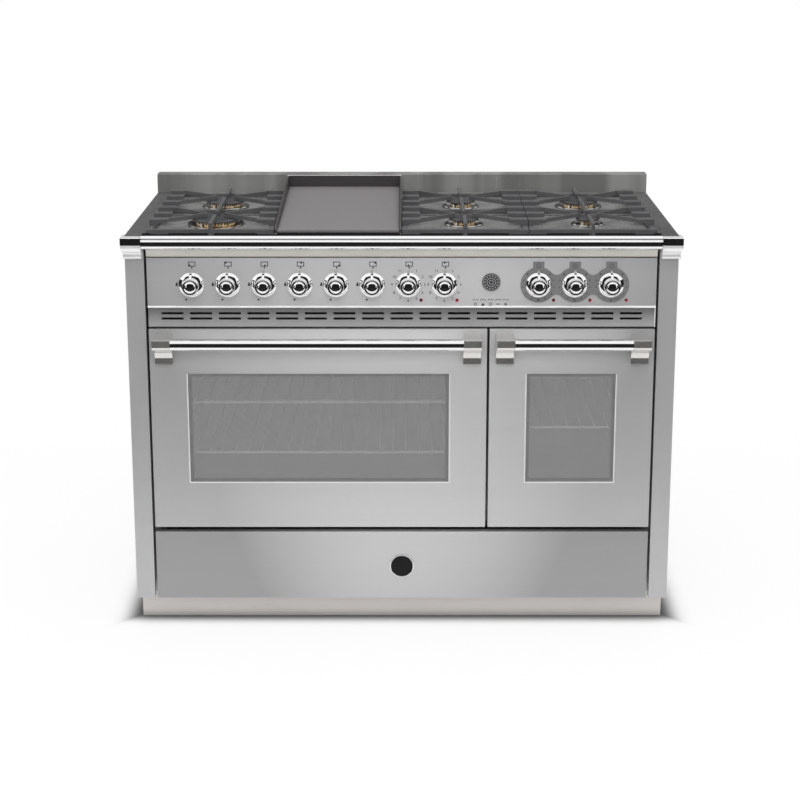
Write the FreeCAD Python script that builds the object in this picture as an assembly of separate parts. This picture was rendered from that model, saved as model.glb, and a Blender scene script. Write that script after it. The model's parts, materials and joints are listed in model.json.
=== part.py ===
import FreeCAD, Part
import os
from math import cos, pi, sin
from FreeCAD import Vector

# Free-standing range cooker, 1200 mm wide: six gas burners and a griddle on top, a wide and a narrow oven
# side by side, and a storage drawer. Millimetres, +X to the right, -Y to the front, +Z up.
# Every piece is built with y = 0 on the front faces of the side panels, and is moved as it is saved, so that
# the origin lies on the floor under the middle of the whole cooker.

# Overall sizes
body_width = 1200.0
body_depth = 581.0
hob_height = 900.0
plinth_height = 64.0
backguard_height = 46.0
backguard_thickness = 38.0
handle_reach = 60.0

# Sheet steel and clearances
sheet = 1.5
fit_gap = 0.3
overrun = 5.0
hole_corner_count = 8
hole_margin_share = 1.15
wire_corner_count = 6
stem_corner_count = 4
bowl_corner_count = 16
knob_corner_count = 18
dial_corner_count = 28

# Side panels, folded at the front and the rear
side_rear_inset = 6.0
pilaster_width = 41.0
pilaster_lip = 18.0
side_rear_flange = 15.0

# Stack of the front, from the top down and from the floor up
cornice_rise = 2.5
cornice_height = 28.3
cove_height = 19.2
trim_gap = 3.0
panel_height = 109.0
vent_joint = 0.5
vent_height = 45.5
door_top_gap = 5.0
drawer_front_height = 159.0
drawer_gap = 11.0
front_side_gap = 5.5
fascia_depth = 41.0
front_return = 18.0

# Doors
side_door_width = 361.0
door_gap = 5.6
door_thickness = 36.0
main_window_inset = 82.7
side_window_inset = 82.5
window_lift = 107.0
window_drop = 101.0
glass_thickness = 4.6
glass_setback = 0.6
glass_gap = 0.5
window_ledge = 8.0
hinge_lift = 12.0
hinge_depth = 18.0
hinge_inset = 30.0
hinge_pin_radius = 4.0
hinge_play = 0.1
hinge_eye_radius = 8.0
hinge_eye_flat_share = 0.5
hinge_ear_thickness = 4.0
hinge_cheek_thickness = 3.0
hinge_cheek_gap = 0.5
hinge_cheek_rise = 25.0
hinge_leaf_height = 11.0
hinge_leaf_width = 5.0
hinge_leaf_thickness = 3.0
hinge_notch_margin = 1.0

# Door handles
handle_bar_radius = 13.0
handle_bar_wall = 1.5
handle_axis_reach = 46.0
handle_axis_drop = 23.2
bracket_width = 39.0
bracket_inset = 13.5
bracket_head_radius = 13.6
bracket_height = 67.0
bracket_cove_share = 0.62
bracket_nose_edge = 2.5
bracket_nose_share = 0.4
bracket_round_shares = (0.75, 0.66)
bracket_base_thickness = 8.0
bracket_step_depth = 6.0
bracket_step_height = 8.0
bracket_neck_height = 7.0

# Storage drawer
drawer_box_inset = 33.5
drawer_box_rear_gap = 87.0
drawer_box_height = 110.0
drawer_box_lift = 12.0
runner_height = 16.0
runner_thickness = 9.0
runner_lift = 40.0
rail_lip = 8.0
rail_foot = 15.0
drawer_opening_margin = 5.0
badge_radius = 27.2
badge_thickness = 3.0
badge_rim = 1.6
badge_height_share = 0.485

# Oven cavities
cavity_side_inset = 55.0
cavity_lift = 34.0
cavity_drop = 59.0
cavity_rear_gap = 84.0
liner_flange = 14.0
gasket_inset = 3.0
gasket_width = 8.0
shelf_rib_reach = 9.0
shelf_rib_height = 6.0
shelf_rib_inset = 12.0
shelf_level_count = 5
shelf_first_share = 0.1726
shelf_pitch_share = 0.1616
ribs_below_main_upper_count = 3
ribs_below_main_lower_count = 1
ribs_below_side_count = 2
rack_wire = 3.0
rack_bar = 2.0
rack_side_gap = 2.0
rack_end_gap = 12.0
rack_bar_pitch = 58.0

# Chassis
duct_slot_height = 30.0
duct_slot_inset = 33.5
duct_slot_drop = 8.0
chassis_shelf_drop = 4.5
chassis_ceiling_drop = 2.0
tray_flange = 20.0
back_panel_inset = 26.0
back_panel_margin = 2.0
louvre_length = 90.0
louvre_height = 6.0
louvre_pitch = 170.0
louvre_end_margin = 80.0
louvre_drops = (60.0, 84.0)

# Plinth and feet
plinth_setback = 47.5
plinth_side_inset = 5.0
plinth_rear_inset = 41.0
plinth_flange = 20.0
foot_side_inset = 90.0
foot_front_inset = 52.5
foot_rear_inset = 60.0
foot_pad_radius = 22.0
foot_pad_height = 8.0
foot_stem_radius = 6.0
foot_nut_radius = 10.0
foot_nut_height = 8.0

# Cornice over the control panel
bead_radius = 3.2
bead_reach = 18.2
groove_reach = 16.5
bullnose_reach = 20.0
bullnose_foot_reach = 16.0
cornice_wall = 2.5
cornice_top_depth = 20.0
cove_top_reach = 13.0
cove_foot_reach = 1.5
cove_back = 3.0
cove_sag = 4.0
capital_width = 44.0
capital_overhang = 6.0
capital_reach = 22.0
capital_top_drop = 0.5
capital_block_height = 16.9
capital_cyma_height = 16.6
capital_neck_reach = 12.0
capital_neck_overhang = 2.4
capital_astragal_height = 3.0
capital_astragal_reach = 1.2
capital_wrap = 20.0
cyma_bulge_share = 0.72
cyma_height_share = 0.42

# Control panel
panel_edge_radius = 3.0
gas_knob_count = 6
griddle_knob_count = 2
oven_knob_count = 3
knob_first_share = -0.8257
knob_pitch_share = 0.1419
oven_knob_first_share = 0.5366
oven_knob_pitch_share = 0.1427
knob_drop = 59.5
panel_hole_radius = 7.0
timer_share = 0.3512
timer_drop = 54.0
timer_radius = 20.0
timer_thickness = 2.5
timer_bezel = 1.5
timer_stem_radius = 15.0
timer_stem_length = 6.0
griddle_lamp_offset = 27.6
oven_lamp_offset = 33.5
lamp_drop = 94.0
lamp_radius = 4.0
lamp_dome = 1.6
lamp_stem_radius = 2.6
lamp_stem_length = 8.0
dial_plate_radius = 40.0
dial_plate_waist = 25.0
dial_plate_thickness = 1.2
dial_tab_width = 24.5
dial_tab_rise = 51.0

# Ventilation strip
vent_setback = 4.0
vent_slot_length = 48.0
vent_slot_height = 5.0
vent_slot_pitch = 62.6
vent_slot_end_margin = 20.0
vent_row_drops = (15.2, 27.1)

# Knobs
knob_clearance = 0.5
knob_flange_radius = 28.0
knob_flange_thickness = 3.4
knob_drum_radius = 16.6
knob_drum_front_radius = 15.4
knob_drum_length = 22.0
knob_lip_radius = 18.2
knob_lip_width = 4.0
knob_dome_radius = 12.5
knob_dome_height = 5.5
knob_ridge_width = 5.0
knob_ridge_foot_radius = 33.0
knob_ridge_head_radius = 19.5
spindle_radius = 4.0

# Gas rail and switches behind the control panel
valve_width = 26.0
valve_height = 30.0
valve_depth = 38.0
rail_size = 18.0
rail_end_margin = 30.0
inlet_radius = 10.5
inlet_length = 17.0
inlet_nut_radius = 14.0
inlet_nut_length = 5.0
inlet_side_inset = 60.0
switch_width = 42.0
switch_height = 42.0
switch_depth = 30.0
terminal_width = 110.0
terminal_height = 90.0
terminal_depth = 20.0
terminal_side_inset = 60.0
terminal_drop = 260.0
gland_radius = 9.0
gland_bore_radius = 5.0
gland_length = 14.0

# Hob pan
hob_side_strip = 42.0
pan_front_rim = 28.0
pan_rear_rim = 5.0
pan_recess = 8.0
pan_corner = 14.0
pan_front_flange = 18.0

# Burners, with their rows as shares of a grate's depth
burner_front_share = 0.2727
burner_rear_share = 0.7597
large_cap_radius = 54.0
medium_cap_radius = 46.0
small_cap_radius = 34.0
tiny_cap_radius = 27.0
bowl_margin = 11.0
bowl_height = 4.5
bowl_lip = 2.0
bowl_floor_share = 0.8
crown_inset = 9.0
crown_height = 10.0
crown_small_slot_count = 8
crown_large_slot_count = 10
crown_tooth_share = 0.6
crown_slot_depth = 4.0
cap_thickness = 5.0
cap_edge = 1.6
electrode_foot_radius = 2.6
electrode_radius = 1.4
electrode_margin = 4.5
electrode_height = 11.5
electrode_turn = 0.3

# Grates
hob_section_count = 4
section_gap = 2.0
grate_front_gap = 18.0
grate_rear_gap = 30.0
grate_lift = 4.0
grate_bar_width = 11.0
grate_bar_height = 9.0
grate_foot_radius = 5.0
grate_top_rise = 27.0
tooth_depth_shares = (0.1234, 0.2814, 0.4416, 0.5996, 0.7597, 0.9177)
tooth_length = 40.0
tooth_width = 24.0
tooth_end_height = 8.0
tooth_cove_share = 0.3
finger_width = 7.0
finger_tip_width = 5.0
finger_height = 9.0
finger_tip_offset = 21.0
finger_tip_spread = 5.0
short_finger_width = 8.0
short_finger_tip_gap = 17.0
grate_play = 0.3

# Griddle
griddle_front_gap = 20.0
griddle_wall = 4.0
griddle_floor_thickness = 7.0
griddle_floor_front_rise = 8.0
griddle_floor_rear_rise = 30.0
griddle_lip_rise = 12.0
griddle_wall_front_rise = 21.0
griddle_wall_rear_rise = 58.0
griddle_front_sweep = 14.0
griddle_foot_height = 6.0
griddle_foot_length = 24.0

# Places worked out from the sizes above
half_width = body_width / 2
shift_to_origin = Vector(0, -(body_depth - handle_reach) / 2, 0)
side_depth = body_depth - side_rear_inset
back_panel_depth = body_depth - back_panel_inset
front_half_width = half_width - pilaster_width - front_side_gap
fronts_xs = (-front_half_width, front_half_width)
cornice_top = hob_height + cornice_rise
cornice_bottom = cornice_top - cornice_height
cove_bottom = cornice_bottom - cove_height
panel_top = cove_bottom - trim_gap
panel_bottom = panel_top - panel_height
vent_top = panel_bottom - vent_joint
vent_bottom = vent_top - vent_height
door_top = vent_bottom - door_top_gap
drawer_bottom = plinth_height
drawer_top = drawer_bottom + drawer_front_height
door_bottom = drawer_top + drawer_gap
side_top = hob_height - sheet
inner_half_width = half_width - sheet - fit_gap
side_door_xs = (front_half_width - side_door_width, front_half_width)
main_door_xs = (-front_half_width, side_door_xs[0] - door_gap)
door_split_x = (main_door_xs[1] + side_door_xs[0]) / 2
hinge_z = door_bottom + hinge_lift
hinge_notch_half = hinge_ear_thickness / 2 + hinge_cheek_gap + hinge_cheek_thickness + hinge_notch_margin
window_zs = (door_bottom + window_lift, door_top - window_drop)
cavity_bottom = door_bottom + cavity_lift
cavity_top = door_top - cavity_drop
cavity_front = fascia_depth - sheet
cavity_rear = back_panel_depth - cavity_rear_gap
chassis_shelf = door_bottom - chassis_shelf_drop
chassis_ceiling = door_top - chassis_ceiling_drop
drawer_box_half_width = front_half_width - drawer_box_inset
drawer_box_depth = back_panel_depth - drawer_box_rear_gap
plinth_depth = body_depth - plinth_rear_inset
foot_depths = (plinth_setback + foot_front_inset, plinth_depth - foot_rear_inset)
knob_z = panel_top - knob_drop
timer_x = timer_share * front_half_width
pan_floor = hob_height - pan_recess
pan_half_width = half_width - hob_side_strip
pan_rear = body_depth - backguard_thickness - pan_rear_rim
section_width = 2 * pan_half_width / hob_section_count
grate_front = pan_front_rim + grate_front_gap
grate_rear = pan_rear - grate_rear_gap
grate_top = pan_floor + grate_top_rise
burner_front_depth = grate_front + burner_front_share * (grate_rear - grate_front)
burner_rear_depth = grate_front + burner_rear_share * (grate_rear - grate_front)
cornice_half_width = half_width + capital_overhang - capital_width
handle_z = door_top - handle_axis_drop


# Shapes and patterns that many pieces share

def block(xs, ys, zs):
    """Box between low and high values on each axis."""
    return Part.makeBox(xs[1] - xs[0], ys[1] - ys[0], zs[1] - zs[0], Vector(xs[0], ys[0], zs[0]))


def grown(span, amount):
    """Low and high values moved apart by an amount at each end."""
    return span[0] - amount, span[1] + amount


def around(centre, half):
    """Low and high values at equal distances from a centre."""
    return centre - half, centre + half


def row(width, margin, pitch):
    """Centred places at a pitch, as many as the width holds between its margins."""
    count = int((width - 2 * margin) / pitch)
    return [(index - (count - 1) / 2) * pitch for index in range(count)]


def spread(first_share, pitch_share, count):
    """Places along the fronts, from shares of half their width."""
    return [front_half_width * (first_share + index * pitch_share) for index in range(count)]


def outline_face(outline, to_space):
    """Face inside an outline. A step is a point, or a pair for an arc: a point on it and its end."""
    start = to_space(*outline[0])
    here = start
    edges = []
    for step in outline[1:]:
        if isinstance(step[0], tuple):
            middle, end = [to_space(*point) for point in step]
            edges.append(Part.Arc(here, middle, end).toShape())
        else:
            end = to_space(*step)
            edges.append(Part.makeLine(here, end))
        here = end
    edges.append(Part.makeLine(here, start))
    return Part.Face(Part.Wire(edges))


def plan_prism(outline, zs):
    """Solid over a plan outline of (x, y) points."""
    face = outline_face(outline, lambda x, y: Vector(x, y, zs[0]))
    return face.extrude(Vector(0, 0, zs[1] - zs[0]))


def side_prism(outline, xs):
    """Solid with a side-view outline of (y, z) points, drawn out along X."""
    face = outline_face(outline, lambda y, z: Vector(xs[0], y, z))
    return face.extrude(Vector(xs[1] - xs[0], 0, 0))


def front_prism(outline, ys):
    """Solid with a front-view outline of (x, z) points, drawn out along Y."""
    face = outline_face(outline, lambda x, z: Vector(x, ys[0], z))
    return face.extrude(Vector(0, ys[1] - ys[0], 0))


def rod(start, end, radius):
    """Round rod between two points."""
    along = Vector(*end) - Vector(*start)
    return Part.makeCylinder(radius, along.Length, Vector(*start), along)


def polygon_corners(centre, along, radius, sides):
    """Corners of a regular polygon square to an axis, on a circle of this radius."""
    across = Vector(along.y, along.z, along.x)
    up = along.cross(across)
    corners = []
    for index in range(sides):
        angle = 2 * pi * (index + 1 / 2) / sides
        corners.append(centre + across * (radius * cos(angle)) + up * (radius * sin(angle)))
    return corners


def corner_face(corners):
    """Flat face through its corners."""
    return Part.Face(Part.makePolygon(corners + corners[:1]))


def flat_bar(start, end, radius, sides):
    """Bar with flats between two points in line with an axis, for wires, drilled sheet and hidden stems."""
    start = Vector(*start)
    along = Vector(*end) - start
    face = corner_face(polygon_corners(start, Vector(along).normalize(), radius, sides))
    return face.extrude(along)


def stacked(profile, foot, sides, forward=False):
    """Many-sided solid through (radius, height) points, from its foot up or to the front."""
    foot = Vector(*foot)
    up = Vector(0, -1, 0) if forward else Vector(0, 0, 1)
    rings = [polygon_corners(foot + up * height, up, radius, sides) for radius, height in profile]
    faces = [corner_face(rings[0][::-1]), corner_face(rings[-1])]
    for low, high in zip(rings, rings[1:]):
        for index in range(sides):
            faces.append(corner_face([low[index - 1], low[index], high[index], high[index - 1]]))
    shell = Part.makeShell(faces)
    shell.sewShape()
    return Part.makeSolid(shell)


def joined(solids):
    """One solid from several that touch or overlap."""
    return solids[0].multiFuse(solids[1:]).removeSplitter()


def mirrored(solid):
    """The same piece on the other side of the cooker."""
    return solid.mirror(Vector(0, 0, 0), Vector(1, 0, 0))


def ring(xs, zs, ys, width):
    """Flat rectangular frame around an opening."""
    outer = block(grown(xs, width), ys, grown(zs, width))
    return outer.cut(block(xs, grown(ys, overrun), zs))


def tray(xs, ys, zs, wall, open_side):
    """Sheet box with one side open: 'rear', 'front' or 'top'."""
    inner_ys = {"rear": (ys[0] + wall, ys[1] + overrun), "front": (ys[0] - overrun, ys[1] - wall)}
    ys_inside = inner_ys.get(open_side, grown(ys, -wall))
    zs_inside = (zs[0] + wall, zs[1] + overrun) if open_side == "top" else grown(zs, -wall)
    return block(xs, ys, zs).cut(block(grown(xs, -wall), ys_inside, zs_inside))


def save(node, solids):
    """Writes one named piece, or one group of like pieces, moved to the cooker's own origin."""
    shape = solids[0] if len(solids) == 1 else Part.makeCompound(solids)
    shape = shape.copy()
    shape.translate(shift_to_origin)
    shape.exportStep("parts/" + node + ".step")


# Places of the controls
knobs_from_left = spread(knob_first_share, knob_pitch_share, gas_knob_count + griddle_knob_count)
gas_knob_places = knobs_from_left[:gas_knob_count]
griddle_knob_places = knobs_from_left[gas_knob_count:]
oven_knob_places = spread(oven_knob_first_share, oven_knob_pitch_share, oven_knob_count)
lamp_places = [x + griddle_lamp_offset for x in griddle_knob_places]
lamp_places += [x + oven_lamp_offset for x in oven_knob_places]


# Body

def side_panel():
    """Right side: outer sheet, front return that reads as a pilaster, its lip, and a rear flange."""
    inner = half_width - sheet
    front = half_width - pilaster_width
    outline = [
        (half_width, 0), (half_width, side_depth), (half_width - side_rear_flange, side_depth),
        (half_width - side_rear_flange, side_depth - sheet), (inner, side_depth - sheet), (inner, sheet),
        (front + sheet, sheet), (front + sheet, pilaster_lip), (front, pilaster_lip), (front, 0),
    ]
    return plan_prism(outline, (plinth_height, side_top))


def hinge_stations(xs):
    """Places across a door where its two hinges stand."""
    return xs[0] + hinge_inset, xs[1] - hinge_inset


def hinge_ear(x):
    """Fixed half of a door hinge: an ear on the face frame that carries the hinge pin."""
    low, high = around(hinge_z, hinge_eye_radius)
    nose = hinge_depth - hinge_eye_radius
    flat = hinge_eye_radius * hinge_eye_flat_share
    outline = [(fascia_depth, low), (nose + flat, low), (nose, low + flat), (nose, high - flat),
               (nose + flat, high), (fascia_depth, high)]
    plate = side_prism(outline, around(x, hinge_ear_thickness / 2))
    tip = x + hinge_notch_half - fit_gap
    pin = rod((x, hinge_depth, hinge_z), (tip, hinge_depth, hinge_z), hinge_pin_radius)
    return plate.fuse(pin)


def cavity_xs(door_xs):
    """Inner width of the oven behind a door."""
    return grown(door_xs, -cavity_side_inset)


def chassis():
    """Welded frame: bottom tray, face frame, drawer roof, wall between the ovens, oven roof, hinge ears."""
    xs = (-inner_half_width, inner_half_width)
    behind = (fascia_depth + sheet, back_panel_depth)
    floor_top = plinth_height + sheet
    face_zs = (plinth_height, cornice_bottom)
    solids = [
        block(xs, (fascia_depth, fascia_depth + sheet), face_zs),
        block(xs, behind, (plinth_height, floor_top)),
        block(xs, behind, (chassis_shelf - sheet, chassis_shelf)),
        block(xs, behind, (chassis_ceiling, chassis_ceiling + sheet)),
        block(around(door_split_x, sheet / 2), behind, (chassis_shelf, chassis_ceiling)),
    ]
    solids.append(block(fronts_xs, (cove_back, fascia_depth), (cornice_bottom - sheet, cornice_bottom)))
    for side in (-1, 1):
        wall = sorted((side * inner_half_width, side * (inner_half_width - sheet)))
        solids.append(block(wall, behind, (floor_top, floor_top + tray_flange)))
    for door_xs in (main_door_xs, side_door_xs):
        for x in hinge_stations(door_xs):
            solids.append(hinge_ear(x))
    through = (fascia_depth - fit_gap, fascia_depth + sheet + overrun)
    openings = []
    for door_xs in (main_door_xs, side_door_xs):
        oven = grown(cavity_xs(door_xs), sheet + fit_gap)
        openings.append(block(oven, through, grown((cavity_bottom, cavity_top), sheet + fit_gap)))
    drawer_half = drawer_box_half_width + runner_thickness + drawer_opening_margin
    drawer_opening = (floor_top + drawer_opening_margin, drawer_top)
    openings.append(block((-drawer_half, drawer_half), through, drawer_opening))
    duct_top = vent_top - duct_slot_drop
    duct_end = front_half_width - duct_slot_inset
    for duct in ((-duct_end, -pilaster_width), (pilaster_width, duct_end)):
        openings.append(block(duct, through, (duct_top - duct_slot_height, duct_top)))
    for places in (gas_knob_places + griddle_knob_places, oven_knob_places):
        slot_xs = (places[0] - panel_hole_radius, places[-1] + panel_hole_radius)
        openings.append(block(slot_xs, through, around(knob_z, panel_hole_radius)))
    return joined(solids).cut(openings)


def back_panel():
    """Rear cover with rows of vent slots, and the holes for the gas inlet and the supply."""
    ys = (back_panel_depth, back_panel_depth + sheet)
    top = pan_floor - sheet - fit_gap
    panel = block((-inner_half_width, inner_half_width), ys, (plinth_height + back_panel_margin, top))
    slots = []
    for x in row(2 * inner_half_width, louvre_end_margin, louvre_pitch):
        for drop in louvre_drops:
            zs = around(top - drop, louvre_height / 2)
            slots.append(block(around(x, louvre_length / 2), grown(ys, overrun), zs))
    inlet_x = half_width - inlet_side_inset
    inlet_ends = [(inlet_x, y, knob_z) for y in grown(ys, overrun)]
    slots.append(flat_bar(*inlet_ends, inlet_radius * hole_margin_share, hole_corner_count))
    return panel.cut(slots)


def terminal_cover():
    """Box over the electrical terminals on the back, with the cable gland under it."""
    left = -half_width + terminal_side_inset
    front = back_panel_depth + sheet
    top = hob_height - terminal_drop
    xs = (left, left + terminal_width)
    zs = (top - terminal_height, top)
    cover = tray(xs, (front, front + terminal_depth), zs, sheet, "front")
    x = left + terminal_width / 2
    y = front + terminal_depth / 2
    gland_zs = (zs[0] - gland_length, zs[0] + sheet)
    gland = flat_bar(*[(x, y, z) for z in gland_zs], gland_radius, hole_corner_count)
    bore = flat_bar(*[(x, y, z) for z in grown(gland_zs, overrun)], gland_bore_radius, hole_corner_count)
    return cover.fuse(gland).cut(bore)


def plinth():
    """Skirt round the front and sides, with an inner flange under the chassis."""
    outer = half_width - plinth_side_inset
    front = plinth_setback
    outline = [
        (-outer, plinth_depth), (-outer, front), (outer, front), (outer, plinth_depth),
        (outer - sheet, plinth_depth), (outer - sheet, front + sheet), (-outer + sheet, front + sheet),
        (-outer + sheet, plinth_depth),
    ]
    inner = outer - plinth_flange
    flange = [
        (-outer, plinth_depth), (-outer, front), (outer, front), (outer, plinth_depth),
        (inner, plinth_depth), (inner, front + plinth_flange), (-inner, front + plinth_flange),
        (-inner, plinth_depth),
    ]
    skirt = plan_prism(outline, (0, plinth_height))
    return joined([skirt, plan_prism(flange, (plinth_height - sheet, plinth_height))])


def levelling_feet():
    """Four screw feet behind the plinth: a pad, a stem and a nut under the tray."""
    solids = []
    for side in (-1, 1):
        for y in foot_depths:
            x = side * (half_width - foot_side_inset)
            pad_top = (x, y, foot_pad_height)
            nut_foot = (x, y, plinth_height - foot_nut_height)
            pad = flat_bar((x, y, 0), pad_top, foot_pad_radius, hole_corner_count)
            stem = flat_bar(pad_top, nut_foot, foot_stem_radius, stem_corner_count)
            nut = flat_bar(nut_foot, (x, y, plinth_height), foot_nut_radius, wire_corner_count)
            solids.append(joined([pad, stem, nut]))
    return solids


def cornice_moulding():
    """Hollow chrome moulding: a small bead over a bullnose, open at the back."""
    groove_z = cornice_top - 2 * bead_radius
    bull_z = (groove_z + cornice_bottom) / 2
    outline = [
        (cornice_top_depth, cornice_top), (-bead_reach + bead_radius, cornice_top),
        ((-bead_reach, cornice_top - bead_radius), (-groove_reach, groove_z)),
        ((-bullnose_reach, bull_z), (-bullnose_foot_reach, cornice_bottom)),
        (0, cornice_bottom), (0, cornice_bottom + cornice_wall),
        (cornice_wall - bullnose_foot_reach, cornice_bottom + cornice_wall),
        ((cornice_wall - bullnose_reach, bull_z), (cornice_wall - groove_reach, groove_z)),
        (cornice_wall - groove_reach, cornice_top - cornice_wall),
        (cornice_top_depth, cornice_top - cornice_wall),
    ]
    ends = cornice_half_width - fit_gap
    return side_prism(outline, (-ends, ends))


def cove_strip():
    """Hollowed trim between the moulding and the control panel."""
    middle_z = (cornice_bottom + cove_bottom) / 2
    middle_reach = (cove_top_reach + cove_foot_reach) / 2 - cove_sag
    outline = [
        (-cove_top_reach, cornice_bottom), ((-middle_reach, middle_z), (-cove_foot_reach, cove_bottom)),
        (cove_back, cove_bottom), (cove_back, cornice_bottom),
    ]
    return side_prism(outline, fronts_xs)


def capital_profile(inside, neck, face, zs):
    """Side view of a capital: neck with a ring at its foot, swelling cyma and square block."""
    foot, top = zs
    block_z = top - capital_block_height
    neck_z = block_z - capital_cyma_height
    swell = neck + (face - neck) * cyma_bulge_share
    swell_z = neck_z + capital_cyma_height * cyma_height_share
    ring_top = foot + capital_astragal_height
    ring_out = neck + capital_astragal_reach * (1 if face > neck else -1)
    return [
        (inside, foot), (neck, foot), ((ring_out, (foot + ring_top) / 2), (neck, ring_top)), (neck, neck_z),
        ((swell, swell_z), (face, block_z)), (face, top), (inside, top),
    ]


def capital():
    """Right corner block of the cornice, moulded on its front and its outer side."""
    zs = (cove_bottom - trim_gap, hob_height - capital_top_drop)
    outer = half_width + capital_overhang
    neck = half_width + capital_neck_overhang
    front = side_prism(
        capital_profile(capital_wrap, -capital_neck_reach, -capital_reach, zs), (cornice_half_width, outer))
    side = front_prism(
        capital_profile(cornice_half_width, neck, outer, zs), (-capital_reach, capital_wrap))
    corner_ys = (0, capital_wrap + overrun)
    corner = block((cornice_half_width - overrun, half_width), corner_ys, grown(zs, overrun))
    return front.common(side).cut(corner)


def backguard():
    """Upstand along the rear edge of the hob, a folded box open underneath."""
    ys = (body_depth - backguard_thickness, body_depth)
    zs = (hob_height, hob_height + backguard_height)
    shell = block((-half_width, half_width), ys, zs)
    hollow_xs = (sheet - half_width, half_width - sheet)
    hollow = block(hollow_xs, grown(ys, -sheet), (zs[0] - overrun, zs[1] - sheet))
    return shell.cut(hollow)


def control_panel():
    """Folded fascia with a rounded lower edge and a hole for each spindle, lamp and the timer."""
    zs = (panel_bottom, panel_top)
    panel = block(fronts_xs, (0, fascia_depth), zs)
    lower_edge = [edge for edge in panel.Edges if is_edge_at(edge, 0, panel_bottom)]
    panel = panel.makeFillet(panel_edge_radius, lower_edge)
    panel = panel.cut(block(grown(fronts_xs, -sheet), (sheet, fascia_depth + overrun), grown(zs, -sheet)))
    holes = [(x, knob_z, panel_hole_radius) for x in gas_knob_places + griddle_knob_places + oven_knob_places]
    holes += [(x, panel_top - lamp_drop, lamp_stem_radius + fit_gap) for x in lamp_places]
    holes.append((timer_x, panel_top - timer_drop, timer_stem_radius + fit_gap))
    drills = []
    for x, z, radius in holes:
        drills.append(flat_bar((x, -overrun, z), (x, sheet + overrun, z), radius, wire_corner_count))
    return panel.cut(drills)


def is_edge_at(edge, y, z):
    """True for a straight edge along X at this place."""
    return all(abs(v.Y - y) < fit_gap and abs(v.Z - z) < fit_gap for v in edge.Vertexes)


def vent_strip():
    """Slotted strip above the doors, which lets the cooling air out."""
    zs = (vent_bottom, vent_top)
    strip = tray(fronts_xs, (vent_setback, fascia_depth), zs, sheet, "rear")
    slots = []
    for x in row(2 * front_half_width, vent_slot_end_margin, vent_slot_pitch):
        for drop in vent_row_drops:
            zs = around(vent_top - drop, vent_slot_height / 2)
            slots.append(block(around(x, vent_slot_length / 2), around(vent_setback, overrun), zs))
    return strip.cut(slots)


def dial_plate():
    """Dark plate behind the oven knobs: joined discs, each with a tab above it for the function marks."""
    ys = (-dial_plate_thickness, 0)
    first, last = oven_knob_places[0], oven_knob_places[-1]
    solids = [block((first, last), ys, around(knob_z, dial_plate_waist))]
    for x in oven_knob_places:
        solids.append(flat_bar((x, ys[0], knob_z), (x, ys[1], knob_z), dial_plate_radius, dial_corner_count))
        solids.append(block(around(x, dial_tab_width / 2), ys, (knob_z, knob_z + dial_tab_rise)))
    drills = []
    for x in oven_knob_places:
        drills.append(flat_bar((x, -overrun, knob_z), (x, overrun, knob_z), panel_hole_radius, wire_corner_count))
    return joined(solids).cut(drills)


def timer():
    """Round clock in the control panel, with a bevelled rim and a stem through the sheet."""
    z = panel_top - timer_drop
    profile = [(timer_radius, 0), (timer_radius - timer_bezel, timer_thickness)]
    dial = stacked(profile, (timer_x, 0, z), dial_corner_count, forward=True)
    stem = flat_bar((timer_x, 0, z), (timer_x, timer_stem_length, z), timer_stem_radius, wire_corner_count)
    return joined([dial, stem])


def lamps():
    """Indicator lamps with a stem through the sheet."""
    z = panel_top - lamp_drop
    solids = []
    for x in lamp_places:
        head = flat_bar((x, -lamp_dome, z), (x, 0, z), lamp_radius, hole_corner_count)
        stem = flat_bar((x, 0, z), (x, lamp_stem_length, z), lamp_stem_radius, stem_corner_count)
        solids.append(joined([head, stem]))
    return solids


# Doors, and the ovens behind them

def door_panel(xs, window_xs):
    """Front skin of a door: a shallow pan with the window cut out and room for the hinges."""
    pan = tray(xs, (0, front_return), (door_bottom, door_top), sheet, "rear")
    cuts = [block(window_xs, (-overrun, sheet + overrun), window_zs)]
    for x in hinge_stations(xs):
        notch_ys = (hinge_depth - hinge_eye_radius - overrun, front_return + overrun)
        cuts.append(block(around(x, hinge_notch_half), notch_ys, around(door_bottom, sheet + fit_gap)))
    return pan.cut(cuts)


def door_glass(window_xs):
    """Outer pane, let in flush with the skin, and inner pane in the door liner."""
    outer_ys = (glass_setback, glass_setback + glass_thickness)
    outer = block(grown(window_xs, -glass_gap), outer_ys, grown(window_zs, -glass_gap))
    edge = window_ledge + fit_gap
    inner_ys = (door_thickness - glass_thickness - sheet, door_thickness - sheet)
    inner = block(grown(window_xs, -edge), inner_ys, grown(window_zs, -edge))
    return [outer, inner]


def door_liner(xs, window_xs):
    """Inner pan of a door, with the sleeve that carries both panes and notches for the hinges."""
    margin = sheet + fit_gap
    liner_xs = grown(xs, -margin)
    liner_zs = (door_bottom + margin, door_top - margin)
    pan = tray(liner_xs, (margin, door_thickness), liner_zs, sheet, "front")
    ledge_ys = (glass_setback + glass_thickness, glass_setback + glass_thickness + sheet)
    opening_xs = grown(window_xs, -window_ledge)
    opening_zs = grown(window_zs, -window_ledge)
    sleeve = block(grown(opening_xs, sheet), (ledge_ys[0], door_thickness), grown(opening_zs, sheet))
    ledge = block(window_xs, ledge_ys, window_zs)
    cuts = [block(opening_xs, (0, door_thickness + overrun), opening_zs)]
    for x in hinge_stations(xs):
        top = hinge_z + hinge_cheek_rise + hinge_notch_margin
        notch_zs = (door_bottom, top)
        cuts.append(block(around(x, hinge_notch_half), (sheet, door_thickness + overrun), notch_zs))
    return joined([pan, sleeve, ledge]).cut(cuts)


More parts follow.
